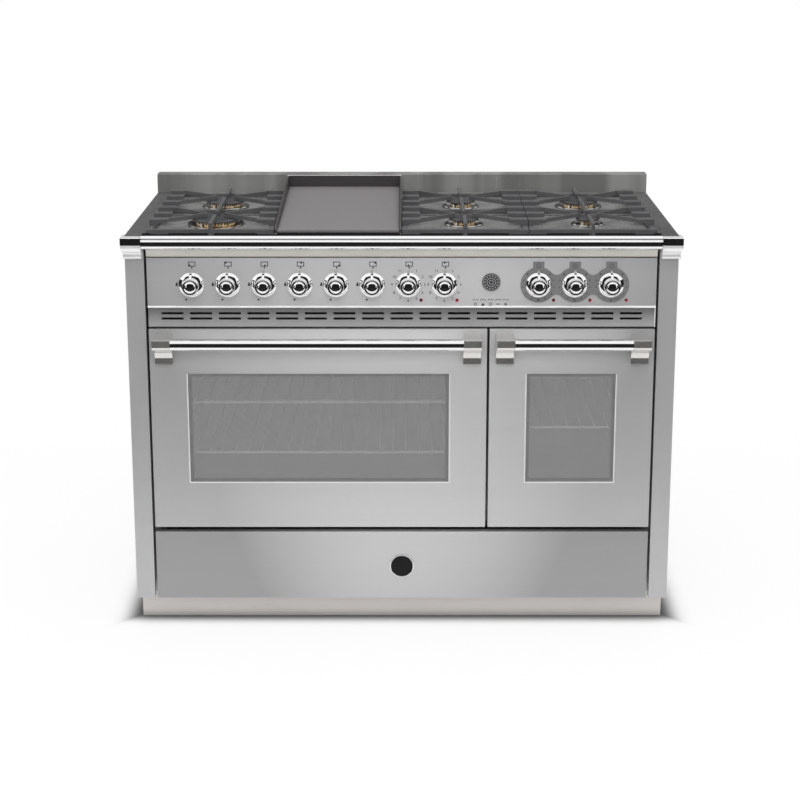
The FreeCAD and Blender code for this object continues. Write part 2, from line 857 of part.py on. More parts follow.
def door_hinges(xs):
    """Moving half of each hinge: an angle screwed behind the skin, whose cheek swings on the fixed pin."""
    solids = []
    low = hinge_z - hinge_eye_radius
    top = hinge_z + hinge_cheek_rise
    for x in hinge_stations(xs):
        cheek_left = x + hinge_ear_thickness / 2 + hinge_cheek_gap
        cheek_xs = (cheek_left, cheek_left + hinge_cheek_thickness)
        leaf_xs = (x - hinge_leaf_width, cheek_xs[1])
        cheek = block(cheek_xs, (sheet, hinge_depth + hinge_eye_radius), (low, top))
        leaf = block(leaf_xs, (sheet, sheet + hinge_leaf_thickness), (top - hinge_leaf_height, top))
        bore_ends = [(end, hinge_depth, hinge_z) for end in grown(cheek_xs, fit_gap)]
        bore = rod(*bore_ends, hinge_pin_radius + hinge_play)
        solids.append(joined([cheek, leaf]).cut(bore))
    return solids


def bracket_places(xs):
    """X ranges of the two handle brackets on a door."""
    left = (xs[0] + bracket_inset, xs[0] + bracket_inset + bracket_width)
    right = (xs[1] - bracket_inset - bracket_width, xs[1] - bracket_inset)
    return left, right


def handle_brackets(xs):
    """Cast brackets: a square nose level with the bar, rounded below, a coved neck and a stepped foot."""
    top = handle_z + bracket_head_radius
    foot = top - bracket_height
    head_low = handle_z - bracket_head_radius
    nose_low = handle_z - bracket_head_radius * bracket_nose_share
    lip = handle_reach - handle_axis_reach
    depth_share, drop_share = bracket_round_shares
    turn = (-handle_axis_reach - lip * depth_share, nose_low - (nose_low - head_low) * drop_share)
    shoulder = -(bracket_base_thickness + bracket_step_depth)
    neck_z = foot + bracket_step_height + bracket_neck_height
    cove = (shoulder - bracket_step_depth, neck_z + (head_low - neck_z) * bracket_cove_share)
    outline = [
        (0, top), (bracket_nose_edge - handle_reach, top), (-handle_reach, top - bracket_nose_edge),
        (-handle_reach, nose_low), (turn, (-handle_axis_reach, head_low)),
        (cove, (shoulder, neck_z)), (shoulder, foot + bracket_step_height),
        (-bracket_base_thickness, foot + bracket_step_height), (-bracket_base_thickness, foot), (0, foot),
    ]
    return [side_prism(outline, place) for place in bracket_places(xs)]


def handle_bar(xs):
    """Tubular bar that butts between the brackets."""
    left, right = bracket_places(xs)
    ends = ((left[1], -handle_axis_reach, handle_z), (right[0], -handle_axis_reach, handle_z))
    tube = rod(*ends, handle_bar_radius)
    return tube.cut(flat_bar(*ends, handle_bar_radius - handle_bar_wall, hole_corner_count))


def shelf_rib_heights():
    """Heights of the top faces of the ribs that carry the shelves."""
    height = cavity_top - cavity_bottom
    shares = [shelf_first_share + level * shelf_pitch_share for level in range(shelf_level_count)]
    return [cavity_bottom + share * height for share in shares]


def oven_liner(xs):
    """Enamelled oven box with a front flange, and ribs along both sides that carry the shelves."""
    zs = (cavity_bottom, cavity_top)
    shell = block(grown(xs, sheet), (cavity_front, cavity_rear + sheet), grown(zs, sheet))
    flange = block(grown(xs, liner_flange), (cavity_front, cavity_front + sheet), grown(zs, liner_flange))
    solid = joined([shell, flange]).cut(block(xs, (cavity_front - overrun, cavity_rear), zs))
    rib_ys = (fascia_depth + shelf_rib_inset, cavity_rear)
    ribs = []
    for top in shelf_rib_heights():
        for rib_xs in ((xs[0], xs[0] + shelf_rib_reach), (xs[1] - shelf_rib_reach, xs[1])):
            ribs.append(block(rib_xs, rib_ys, (top - shelf_rib_height, top)))
    return joined([solid] + ribs)


def gasket(xs):
    """Sealing ring on the flange of an oven."""
    ys = (door_thickness + fit_gap, cavity_front)
    return ring(grown(xs, gasket_inset), grown((cavity_bottom, cavity_top), gasket_inset), ys, gasket_width)


def wire_shelf(xs, level):
    """Wire shelf: a frame, and bars from front to back welded on it."""
    rail_xs = grown(xs, -(rack_side_gap + rack_wire))
    rail_ys = (fascia_depth + rack_end_gap, cavity_rear - rack_end_gap)
    z = shelf_rib_heights()[level] + rack_wire
    solids = []
    for x in rail_xs:
        solids.append(block(around(x, rack_wire), grown(rail_ys, rack_wire), around(z, rack_wire)))
    for y in rail_ys:
        solids.append(block(rail_xs, around(y, rack_wire), around(z, rack_wire)))
    width = rail_xs[1] - rail_xs[0]
    count = round(width / rack_bar_pitch)
    for index in range(1, count):
        x = rail_xs[0] + width * index / count
        solids.append(flat_bar((x, rail_ys[0], z), (x, rail_ys[1], z), rack_bar, wire_corner_count))
    return joined(solids)


# Storage drawer

def drawer_front():
    """Drawer front, a shallow pan that the front plate of the box closes."""
    return tray(fronts_xs, (0, front_return), (drawer_bottom, drawer_top), sheet, "rear")


def drawer_box_zs():
    """Height range of the drawer box."""
    low = drawer_bottom + drawer_box_lift
    return low, low + drawer_box_height


def runner_zs():
    """Height range of the drawer's runners."""
    low = drawer_box_zs()[0] + runner_lift
    return low, low + runner_height


def drawer_box():
    """Drawer box, open on top, with a runner along each side and a front plate that fits in the drawer front."""
    xs = (-drawer_box_half_width, drawer_box_half_width)
    plate_ys = (front_return - sheet, front_return)
    box = tray(xs, (plate_ys[0], drawer_box_depth), drawer_box_zs(), sheet, "top")
    margin = sheet + fit_gap
    plate = block(grown(fronts_xs, -margin), plate_ys, grown((drawer_bottom, drawer_top), -margin))
    runner_ys = (fascia_depth + 2 * sheet, drawer_box_depth)
    runner = block((drawer_box_half_width, drawer_box_half_width + runner_thickness), runner_ys, runner_zs())
    return joined([box, plate, runner, mirrored(runner)])


def drawer_rail():
    """Right rail of the drawer: a channel round the runner, with a foot at each end."""
    low, high = grown(runner_zs(), fit_gap)
    inner = drawer_box_half_width + runner_thickness + fit_gap
    lip = inner - rail_lip
    ys = (fascia_depth + sheet, back_panel_depth)
    channel = block((lip, inner + sheet), ys, (low - sheet, high + sheet))
    channel = channel.cut(block((lip - overrun, inner), grown(ys, overrun), (low, high)))
    feet_xs = (inner, inner + rail_foot)
    front_foot = block(feet_xs, (ys[0], ys[0] + sheet), (low - sheet, high + sheet))
    rear_foot = block(feet_xs, (ys[1] - sheet, ys[1]), (low - sheet, high + sheet))
    return joined([channel, front_foot, rear_foot])


def badge():
    """Bare round disc on the drawer front, with a bevelled rim."""
    z = drawer_bottom + badge_height_share * drawer_front_height
    profile = [(badge_radius, 0), (badge_radius - badge_rim, badge_thickness)]
    return stacked(profile, (0, 0, z), dial_corner_count, forward=True)


# Controls

def knob(x, seat):
    """Turned knob on its spindle: flange, drum, lip, domed front, and a ridge that points up when off."""
    flange_top = knob_flange_thickness
    drum_top = flange_top + knob_drum_length
    lip_top = drum_top + knob_lip_width
    front = lip_top + knob_dome_height
    profile = [
        (knob_flange_radius, 0), (knob_drum_radius, flange_top), (knob_drum_front_radius, drum_top),
        (knob_lip_radius, lip_top), (knob_dome_radius, front),
    ]
    foot = -seat - knob_clearance
    body = stacked(profile, (x, foot, knob_z), knob_corner_count, forward=True)
    head = foot - drum_top
    ridge_low = knob_z + knob_drum_front_radius / 2
    heel, toe = foot - flange_top / 2, foot - flange_top
    ridge_tip = knob_z + knob_ridge_foot_radius
    ridge_outline = [(heel, ridge_low), (heel, ridge_tip), (toe, ridge_tip),
                     (head, knob_z + knob_ridge_head_radius), (head, ridge_low)]
    ridge = side_prism(ridge_outline, around(x, knob_ridge_width / 2))
    valve_front = fascia_depth + sheet
    spindle = flat_bar((x, foot, knob_z), (x, valve_front - fit_gap, knob_z), spindle_radius, wire_corner_count)
    return joined([body, ridge, spindle])


def gas_manifold():
    """Gas rail behind the face frame with a valve per burner, and the feed to the inlet on the back."""
    valve_ys = (fascia_depth + sheet, fascia_depth + sheet + valve_depth)
    solids = []
    for x in gas_knob_places:
        solids.append(block(around(x, valve_width / 2), valve_ys, around(knob_z, valve_height / 2)))
    inlet_x = half_width - inlet_side_inset
    rail_xs = (gas_knob_places[0] - rail_end_margin, inlet_x + rail_size / 2)
    rail_ys = (valve_ys[1], valve_ys[1] + rail_size)
    zs = around(knob_z, rail_size / 2)
    solids.append(block(rail_xs, rail_ys, zs))
    feed_end = back_panel_depth - inlet_nut_length
    solids.append(block(around(inlet_x, rail_size / 2), (rail_ys[0], feed_end), zs))
    panel_rear = back_panel_depth + sheet
    inlet_seat = (inlet_x, panel_rear, knob_z)
    nut_end = (inlet_x, panel_rear + inlet_nut_length, knob_z)
    inlet_end = (inlet_x, panel_rear + inlet_length, knob_z)
    solids.append(flat_bar((inlet_x, feed_end, knob_z), inlet_end, inlet_radius, bowl_corner_count))
    solids.append(flat_bar(inlet_seat, nut_end, inlet_nut_radius, wire_corner_count))
    return joined(solids)


def control_switches():
    """Griddle regulators and oven switches behind the face frame."""
    ys = (fascia_depth + sheet, fascia_depth + sheet + switch_depth)
    zs = around(knob_z, switch_height / 2)
    return [block(around(x, switch_width / 2), ys, zs) for x in griddle_knob_places + oven_knob_places]


# Hob

def section_centre(section):
    """X of the middle of one of the hob's sections, counted from the left."""
    return -pan_half_width + (section + 1 / 2) * section_width


# Each burner: section of the hob, depth, radius of its cap, slots round its crown
burners = [
    (0, burner_front_depth, large_cap_radius, crown_large_slot_count),
    (0, burner_rear_depth, medium_cap_radius, crown_large_slot_count),
    (2, burner_front_depth, small_cap_radius, crown_small_slot_count),
    (2, burner_rear_depth, small_cap_radius, crown_small_slot_count),
    (3, burner_front_depth, tiny_cap_radius, crown_small_slot_count),
    (3, burner_rear_depth, medium_cap_radius, crown_large_slot_count),
]


def rounded_block(xs, ys, zs, radius):
    """Block with its upright edges rounded."""
    solid = block(xs, ys, zs)
    upright = [edge for edge in solid.Edges if abs(edge.Vertexes[0].Z - edge.Vertexes[-1].Z) > fit_gap]
    return solid.makeFillet(radius, upright)


def hob_pan():
    """Pressed steel hob: flat side strips, a recessed floor and a front flange."""
    recess_xs = (-pan_half_width, pan_half_width)
    recess_ys = (pan_front_rim, pan_rear)
    deck = block((-half_width, half_width), (0, body_depth), (side_top, hob_height))
    tub_zs = (pan_floor - sheet, hob_height)
    tub = rounded_block(grown(recess_xs, sheet), grown(recess_ys, sheet), tub_zs, pan_corner)
    pocket = rounded_block(recess_xs, recess_ys, (pan_floor, hob_height + overrun), pan_corner - sheet)
    front_half = half_width - pilaster_width - fit_gap
    flange = block((-front_half, front_half), (0, sheet), (hob_height - pan_front_flange, hob_height))
    return joined([deck, tub, flange]).cut(pocket)


def burner_bowl(x, y, cap_radius):
    """Bowl under a burner, dished round the crown."""
    outer = cap_radius + bowl_margin
    foot = (x, y, pan_floor)
    floor_radius = outer * bowl_floor_share
    flange = stacked([(outer, 0), (outer - bowl_lip, bowl_height)], foot, bowl_corner_count)
    dish = stacked([(floor_radius, bowl_lip), (outer - 2 * bowl_lip, bowl_height)], foot, bowl_corner_count)
    return flange.cut(dish)


def burner_crown(x, y, cap_radius, slots):
    """Brass flame ring on the bowl, toothed round its edge by the flame slots."""
    outer = cap_radius - crown_inset
    root = outer - crown_slot_depth
    tooth = ((0, outer), (crown_tooth_share, outer), (crown_tooth_share, root), (1, root))
    outline = []
    for index in range(slots):
        for turn, radius in tooth:
            angle = 2 * pi * (index + turn) / slots
            outline.append((x + radius * cos(angle), y + radius * sin(angle)))
    foot = pan_floor + bowl_lip
    return plan_prism(outline, (foot, foot + crown_height))


def burner_cap(x, y, cap_radius):
    """Enamelled cap: a disc with a tapered edge."""
    profile = [(cap_radius, 0), (cap_radius - cap_edge, cap_thickness)]
    return stacked(profile, (x, y, pan_floor + bowl_lip + crown_height), knob_corner_count)


def electrode(x, y, cap_radius):
    """Spark electrode beside a burner's crown."""
    reach = cap_radius - crown_inset + electrode_margin
    angle = pi * (1 + electrode_turn)
    foot = (x + reach * cos(angle), y + reach * sin(angle), pan_floor)
    profile = [(electrode_foot_radius, bowl_lip), (electrode_radius, electrode_height)]
    return stacked(profile, foot, wire_corner_count)


def grate_tooth(edge, side, depth):
    """Block at the side of a grate, thick at the frame and coved underneath towards its end."""
    low = pan_floor + grate_lift
    frame_top = low + grate_bar_height
    inner = edge - side * grate_bar_width
    tip = edge - side * tooth_length
    end_low = grate_top - tooth_end_height
    cove = (inner + (tip - inner) * tooth_cove_share, end_low - (end_low - frame_top) * tooth_cove_share)
    outline = [(edge, low), (edge, grate_top), (tip, grate_top), (tip, end_low), cove, (inner, frame_top),
               (inner, low)]
    return front_prism(outline, around(depth, tooth_width / 2))


def finger(start, end, start_width, end_width):
    """Tapering finger between two plan points, its top level with the grate's top."""
    along = Vector(end[0] - start[0], end[1] - start[1], 0)
    across = Vector(-along.y, along.x, 0)
    across.normalize()
    corners = []
    for point, width, side in ((start, start_width, 1), (end, end_width, 1), (end, end_width, -1),
                               (start, start_width, -1)):
        corners.append((point[0] + side * across.x * width / 2, point[1] + side * across.y * width / 2))
    return plan_prism(corners, (grate_top - finger_height, grate_top))


def cast_grate(section):
    """Cast pan support: a frame on feet, coved blocks down each side, fingers that point at the burners."""
    x = section_centre(section)
    xs = grown(around(x, section_width / 2), -section_gap / 2)
    ys = (grate_front, grate_rear)
    zs = (pan_floor + grate_lift, pan_floor + grate_lift + grate_bar_height)
    inside = block(grown(xs, -grate_bar_width), grown(ys, -grate_bar_width), grown(zs, overrun))
    solids = [block(xs, ys, zs).cut(inside)]
    for corner_x in grown(xs, -grate_bar_width / 2):
        for corner_y in grown(ys, -grate_bar_width / 2):
            foot = (corner_x, corner_y, pan_floor + grate_play)
            solids.append(flat_bar(foot, (corner_x, corner_y, zs[0]), grate_foot_radius, stem_corner_count))
    middle = (burner_front_depth + burner_rear_depth) / 2
    tooth_depths = [ys[0] + share * (ys[1] - ys[0]) for share in tooth_depth_shares]
    solids.append(block(xs, around(middle, grate_bar_width / 2), zs))
    for side, edge in ((-1, xs[0]), (1, xs[1])):
        inner = edge - side * tooth_length
        for depth in tooth_depths:
            solids.append(grate_tooth(edge, side, depth))
        for burner, first, last in ((burner_front_depth, 0, 2), (burner_rear_depth, 3, 5)):
            tip_x = x + side * finger_tip_offset
            for index, shift in ((first, -1), (last, 1)):
                start = (inner + side * finger_width, tooth_depths[index])
                end = (tip_x, burner + shift * finger_tip_spread / 2)
                solids.append(finger(start, end, finger_width, finger_tip_width))
    ends = [(ys[0], burner_front_depth, 1), (ys[1], burner_rear_depth, -1), (middle, burner_front_depth, -1),
            (middle, burner_rear_depth, 1)]
    for start_y, burner, side in ends:
        tip = burner - side * (short_finger_tip_gap + finger_tip_spread)
        solids.append(block(around(x, short_finger_width / 2), sorted((start_y, tip)),
                            (grate_top - finger_height, grate_top)))
        post_ys = sorted((start_y, start_y + side * grate_bar_width))
        if start_y == middle:
            post_ys = sorted((middle, middle + side * grate_bar_width / 2))
        solids.append(block(around(x, short_finger_width / 2), post_ys, (zs[0], grate_top)))
    return joined(solids)


def griddle():
    """Cast griddle tray: a floor that rises to the back, higher side walls and a low front lip."""
    x = section_centre(1)
    xs = grown(around(x, section_width / 2), -section_gap / 2)
    ys = (pan_front_rim + griddle_front_gap, grate_rear)
    foot = pan_floor + griddle_foot_height
    wall = [
        (ys[0], foot), (ys[0], pan_floor + griddle_lip_rise),
        (ys[0] + griddle_front_sweep, pan_floor + griddle_wall_front_rise),
        (ys[1], pan_floor + griddle_wall_rear_rise), (ys[1], foot),
    ]
    inside = [
        (ys[0] + griddle_wall, pan_floor + griddle_floor_front_rise),
        (ys[0] + griddle_wall, pan_floor + griddle_wall_rear_rise + overrun),
        (ys[1] - griddle_wall, pan_floor + griddle_wall_rear_rise + overrun),
        (ys[1] - griddle_wall, pan_floor + griddle_floor_rear_rise),
    ]
    under = [
        (ys[0] + griddle_wall, foot - overrun),
        (ys[0] + griddle_wall, foot - fit_gap),
        (ys[1] - griddle_wall, pan_floor + griddle_floor_rear_rise - griddle_floor_thickness),
        (ys[1] - griddle_wall, foot - overrun),
    ]
    lip = [
        (ys[0] - overrun, pan_floor + griddle_lip_rise),
        (ys[0] - overrun, pan_floor + griddle_wall_rear_rise),
        (ys[0] + griddle_front_sweep, pan_floor + griddle_wall_rear_rise),
        (ys[0] + griddle_front_sweep, pan_floor + griddle_lip_rise),
    ]
    body = side_prism(wall, xs)
    hollow_xs = grown(xs, -griddle_wall)
    cuts = [side_prism(inside, hollow_xs), side_prism(under, hollow_xs), side_prism(lip, hollow_xs)]
    body = body.cut(cuts)
    feet = []
    for foot_xs in ((xs[0], xs[0] + griddle_wall), (xs[1] - griddle_wall, xs[1])):
        for foot_ys in ((ys[0], ys[0] + griddle_foot_length), (ys[1] - griddle_foot_length, ys[1])):
            feet.append(block(foot_xs, foot_ys, (pan_floor, foot)))
    return joined([body] + feet)


# Files

os.makedirs("parts", exist_ok=True)
main_cavity_xs = cavity_xs(main_door_xs)
side_cavity_xs = cavity_xs(side_door_xs)
main_window_xs = grown(main_door_xs, -main_window_inset)
side_window_xs = grown(side_door_xs, -side_window_inset)
burner_places = [(section_centre(section), depth, radius) for section, depth, radius, slots in burners]

save("chassis", [chassis()])
save("side_panel_right", [side_panel()])
save("side_panel_left", [mirrored(side_panel())])
save("back_panel", [back_panel()])
save("terminal_cover", [terminal_cover()])
save("plinth", [plinth()])
save("levelling_feet", levelling_feet())
save("hob_pan", [hob_pan()])
save("cornice_moulding", [cornice_moulding()])
save("cornice_corners", [capital(), mirrored(capital())])
save("cove_strip", [cove_strip()])
save("backguard", [backguard()])
save("control_panel", [control_panel()])
save("vent_strip", [vent_strip()])
save("oven_dial_plate", [dial_plate()])
save("timer_dial", [timer()])
save("indicator_lamps", lamps())
save("main_oven_liner", [oven_liner(main_cavity_xs)])
save("side_oven_liner", [oven_liner(side_cavity_xs)])
save("oven_gaskets", [gasket(main_cavity_xs), gasket(side_cavity_xs)])
save("main_oven_shelf_upper", [wire_shelf(main_cavity_xs, ribs_below_main_upper_count)])
save("main_oven_shelf_lower", [wire_shelf(main_cavity_xs, ribs_below_main_lower_count)])
save("side_oven_shelf", [wire_shelf(side_cavity_xs, ribs_below_side_count)])
save("drawer_rails", [drawer_rail(), mirrored(drawer_rail())])
save("gas_manifold", [gas_manifold()])
save("control_switches", control_switches())
save("burner_bowls", [burner_bowl(*place) for place in burner_places])
save("burner_crowns", [burner_crown(*place, burner[-1]) for place, burner in zip(burner_places, burners)])
save("burner_caps", [burner_cap(*place) for place in burner_places])
save("spark_electrodes", [electrode(*place) for place in burner_places])
save("griddle_plate", [griddle()])

doors = (("main", main_door_xs, main_window_xs), ("side", side_door_xs, side_window_xs))
for name, door_xs, window_xs in doors:
    save(name + "_door_panel", [door_panel(door_xs, window_xs)])
    save(name + "_door_glass", door_glass(window_xs))
    save(name + "_door_liner", [door_liner(door_xs, window_xs)])
    save(name + "_door_hinges", door_hinges(door_xs))
    save(name + "_handle_bar", [handle_bar(door_xs)])
    save(name + "_handle_brackets", handle_brackets(door_xs))

save("drawer_front", [drawer_front()])
save("drawer_box", [drawer_box()])
save("drawer_badge", [badge()])

for name, section in (("left", 0), ("centre", 2), ("right", 3)):
    save("grate_" + name, [cast_grate(section)])

for number, place in enumerate(gas_knob_places, 1):
    save("gas_knob_" + str(number), [knob(place, 0)])
for number, place in enumerate(griddle_knob_places, 1):
    save("griddle_knob_" + str(number), [knob(place, 0)])
for number, place in enumerate(oven_knob_places, 1):
    save("oven_knob_" + str(number), [knob(place, dial_plate_thickness)])
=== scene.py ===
"""Range cooker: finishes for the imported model, its fine pieces, and a plain studio round it."""
import json
from math import atan2, cos, degrees, hypot, pi, radians, sin

import bmesh
import bpy
from bpy.props import FloatProperty, FloatVectorProperty, PointerProperty
from mathutils import Matrix, Vector


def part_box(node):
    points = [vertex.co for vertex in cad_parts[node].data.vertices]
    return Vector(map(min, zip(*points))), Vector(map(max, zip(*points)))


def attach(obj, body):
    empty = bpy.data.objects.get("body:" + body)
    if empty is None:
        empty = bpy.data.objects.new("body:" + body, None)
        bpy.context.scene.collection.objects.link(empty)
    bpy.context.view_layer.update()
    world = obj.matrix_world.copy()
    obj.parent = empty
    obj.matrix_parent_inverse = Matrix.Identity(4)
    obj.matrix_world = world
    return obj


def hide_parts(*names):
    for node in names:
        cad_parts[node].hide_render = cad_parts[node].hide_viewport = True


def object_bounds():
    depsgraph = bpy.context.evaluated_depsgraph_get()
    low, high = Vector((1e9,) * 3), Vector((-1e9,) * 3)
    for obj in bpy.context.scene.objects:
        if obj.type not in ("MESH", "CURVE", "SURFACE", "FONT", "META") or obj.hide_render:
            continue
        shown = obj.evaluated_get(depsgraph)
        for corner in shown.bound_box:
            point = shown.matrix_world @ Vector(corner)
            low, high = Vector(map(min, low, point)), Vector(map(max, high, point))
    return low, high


bl_info = {
    "name": "Range cooker",
    "version": (1, 0, 0),
    "blender": (4, 5, 0),
    "location": "3D View > Sidebar > Cooker",
    "description": "Dresses the packed range cooker and sets up its studio",
    "category": "Object",
}

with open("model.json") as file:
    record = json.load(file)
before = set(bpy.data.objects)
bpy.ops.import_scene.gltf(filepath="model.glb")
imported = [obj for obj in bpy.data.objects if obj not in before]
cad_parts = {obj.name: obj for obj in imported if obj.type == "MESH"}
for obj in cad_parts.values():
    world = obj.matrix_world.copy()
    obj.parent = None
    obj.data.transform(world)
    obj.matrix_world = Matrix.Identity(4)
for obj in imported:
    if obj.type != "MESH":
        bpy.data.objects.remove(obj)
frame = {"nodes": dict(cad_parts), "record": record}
cad_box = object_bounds()

# Places read from the frame, in metres
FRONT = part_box("side_panel_right")[0].y
CORNICE_LOW, CORNICE_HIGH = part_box("cornice_moulding")
COVE_LOW, COVE_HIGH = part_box("cove_strip")
GAS_KNOBS, GRIDDLE_KNOBS, OVEN_KNOBS = (
    [name for name in sorted(frame["nodes"]) if name.startswith(kind)]
    for kind in ("gas_knob", "griddle_knob", "oven_knob"))

# Turns a shape drawn in X and Y to face the front
FORWARD = Matrix.Rotation(radians(90), 4, "X")
# Turns an outline drawn in X and Y into Y and Z
SIDEWAYS = Matrix(((0, 0, 1, 0), (1, 0, 0, 0), (0, 1, 0, 0), (0, 0, 0, 1)))
TURNED_STEPS = 64
MERGE = 1e-6
SHARP = radians(35)


def knob_axis(node):
    """X and Z of a knob's axis: its flange fills the CAD node's box at the sides and below."""
    low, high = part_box(node)
    return (low.x + high.x) / 2, low.z + (high.x - low.x) / 2


# Settings

def length(name, description, default):
    """Length that a user can change."""
    return FloatProperty(name=name, description=description, default=default, unit="LENGTH", precision=5)


def colour(name, description, default):
    """Colour that a user can change, in linear values."""
    return FloatVectorProperty(
        name=name, description=description, default=default, min=0.0, max=1.0, size=3, subtype="COLOR")


def power(name, description, default):
    """Lamp power that a user can change."""
    return FloatProperty(name=name, description=description, default=default, min=0.0, unit="POWER")


def share(name, description, default):
    """Plain number that a user can change."""
    return FloatProperty(name=name, description=description, default=default)


class CookerColours(bpy.types.PropertyGroup):
    """Base colours of the finishes."""

    steel: colour("Steel", "Brushed steel of the fronts and sides", (0.69, 0.69, 0.694))
    dark_steel: colour("Hob steel", "Brushed steel of the hob", (0.44, 0.44, 0.435))
    guard_steel: colour("Guard steel", "Upstand behind the hob", (0.4, 0.405, 0.39))
    vent_steel: colour("Vent steel", "Polished steel of the slotted strip", (0.47, 0.47, 0.47))
    plinth_steel: colour("Plinth steel", "Warm brushed steel of the plinth", (0.78, 0.74, 0.715))
    chrome: colour("Chrome", "Cornice, knobs and handles", (0.93, 0.93, 0.935))
    bracket: colour("Bracket", "Satin handle brackets", (0.74, 0.72, 0.70))
    cove: colour("Cove", "Olive-grey strip under the cornice", (0.56, 0.55, 0.50))
    # Near-white finish of the window edges and the panel's lip: a painted highlight.
    bright_edge: colour("Bright edge", "Polished edges of panel and windows", (0.95, 0.95, 0.95))
    zinc: colour("Zinc", "Galvanised hidden sheet", (0.42, 0.43, 0.44))
    enamel: colour("Enamel", "Oven lining", (0.06, 0.061, 0.066))
    glass: colour("Glass", "Coated oven glass", (0.42, 0.42, 0.422))
    wire: colour("Wire", "Chromed oven racks", (0.92, 0.92, 0.92))
    iron: colour("Cast iron", "Grates", (0.085, 0.086, 0.088))
    griddle: colour("Griddle", "Ground plate of the griddle", (0.215, 0.203, 0.21))
    griddle_wall: colour("Griddle wall", "Walls of the griddle", (0.045, 0.04, 0.042))
    brass: colour("Brass", "Burner crowns", (0.92, 0.66, 0.34))
    cap: colour("Cap", "Enamelled burner caps", (0.045, 0.046, 0.048))
    plate: colour("Plate", "Grey plate behind the oven knobs", (0.2, 0.2, 0.2))
    timer: colour("Timer", "Face of the timer", (0.035, 0.036, 0.038))
    black: colour("Black", "Badge face", (0.004, 0.004, 0.005))
    print: colour("Print", "Marks printed on the panel", (0.03, 0.03, 0.032))
    pale_print: colour("Pale print", "Marks on dark faces", (0.50, 0.50, 0.50))
    # A lit lens differs from an unlit one only by a brighter red, which paints its glow.
    lamp: colour("Lamp", "Lens of a lit indicator", (0.30, 0.010, 0.018))
    lamp_off: colour("Lamp off", "Lens of an unlit indicator", (0.12, 0.004, 0.008))
    rubber: colour("Rubber", "Gaskets", (0.02, 0.02, 0.021))
    ceramic: colour("Ceramic", "Spark electrodes", (0.75, 0.73, 0.68))
    alloy: colour("Alloy", "Gas rail and valves", (0.5, 0.5, 0.49))
    plastic: colour("Plastic", "Switches and terminal cover", (0.03, 0.03, 0.032))
    floor: colour("Floor", "Studio floor", (0.86, 0.86, 0.86))


class KnobSizes(bpy.types.PropertyGroup):
    """Turned knobs, all alike."""

    clearance: length("Clearance", "From the panel to the flange", 0.0005)
    flange_radius: length("Flange radius", "Foot of the knob on the panel", 0.028)
    flange_edge: length("Flange edge", "Height of the flange's rolled edge", 0.0026)
    bell_height: length("Bell height", "Sloping foot between flange and grip", 0.0080)
    drum_radius: length("Drum radius", "Grip at its foot", 0.0164)
    waist_radius: length("Waist radius", "Grip at its narrowest", 0.0150)
    waist_drop: length("Waist drop", "From the top of the dome to the narrowest part", 0.0130)
    lip_radius: length("Lip radius", "Collar round the dome", 0.0182)
    lip_drop: length("Lip drop", "From the top of the dome to the middle of the collar", 0.0080)
    lip_thickness: length("Lip thickness", "Collar from back to front", 0.0050)
    dome_radius: length("Dome radius", "Foot of the dome", 0.0136)
    ridge_width: length("Ridge width", "Pointer ridge on the grip", 0.0056)
    ridge_foot: length("Ridge foot", "Reach of the ridge at the flange", 0.0330)
    ridge_head: length("Ridge head", "Reach of the ridge at the collar", 0.0158)


class TrimSizes(bpy.types.PropertyGroup):
    """Cornice, cove, handles, windows and racks."""

    bead_depth: length("Bead depth", "Rounded front of the cornice's top, from back to front", 0.0090)
    bead_drop: length("Bead drop", "Rounded front of the cornice's top, from top to bottom", 0.0047)
    bead_swell: length("Bead swell", "Bulge of the bead", 0.0011)
    bead_height: length("Bead height", "Bead with the small face under it", 0.0064)
    bead_reach: length("Bead reach", "Bead in front of the body", 0.0182)
    groove_reach: length("Groove reach", "Groove between bead and bullnose", 0.0152)
    bullnose_reach: length("Bullnose reach", "Bullnose in front of the body", 0.0200)
    bullnose_foot: length("Bullnose foot", "Lower edge of the bullnose", 0.0150)
    cove_sag: length("Cove sag", "Hollow of the strip under the cornice", 0.0040)
    bar_radius: length("Bar radius", "Handle bars", 0.0130)
    collar_length: length("Collar length", "Ring at each end of a handle bar", 0.0030)
    bracket_edge: length("Bracket edge", "Rounding of the brackets' edges", 0.0008)
    bracket_dish: length("Bracket dish", "Hollow of a bracket's top", 0.0020)
    bracket_nose: length("Bracket nose", "Height of a bracket's upright front", 0.0135)
    bracket_head: length("Bracket head", "Height of a bracket's head", 0.0272)
    bracket_lip: length("Bracket lip", "Reach of the head in front of its underside", 0.0140)
    bracket_cove: length("Bracket cove", "Reach of the neck at the bottom of its hollow", 0.0140)
    bracket_step: length("Bracket step", "Height and depth of a bracket's foot", 0.0080)
    # The window edges and the panel's lip are strips that carry a painted highlight.
    window_edge: length("Window edge", "Width of the bright edge of a window", 0.0024)
    window_proud: length("Window proud", "How far that edge stands proud", 0.0004)
    window_border: length("Window border", "Least steel round a window", 0.0500)
    panel_lip: length("Panel lip", "Bright edge under the control panel", 0.0044)
    rack_wire: length("Rack wire", "Radius of the rack's frame wire", 0.0030)
    rack_bar: length("Rack bar", "Radius of the rack's bars", 0.0018)
    rack_pitch: length("Rack pitch", "Distance between bars", 0.0290)


class CapitalSizes(bpy.types.PropertyGroup):
    """Corner blocks of the cornice."""

    block_height: length("Block height", "Square block on top", 0.0169)
    cyma_height: length("Cyma height", "Swelling part under the block", 0.0166)
    astragal: length("Astragal", "Ring at the foot", 0.0030)
    neck_depth: length("Neck depth", "Neck behind the block's front", 0.0100)
    neck_inset: length("Neck inset", "Neck inside the block's outer side", 0.0036)
    neck_hollow: length("Neck hollow", "Hollow of the neck, forward of its foot", -0.0012)
    overhang: length("Overhang", "Block outside the cooker's side", 0.0060)
    bulge_share: share("Bulge share", "Reach of the cyma at its fullest", 0.72)
    bulge_height_share: share("Bulge height", "Where the cyma is fullest", 0.42)


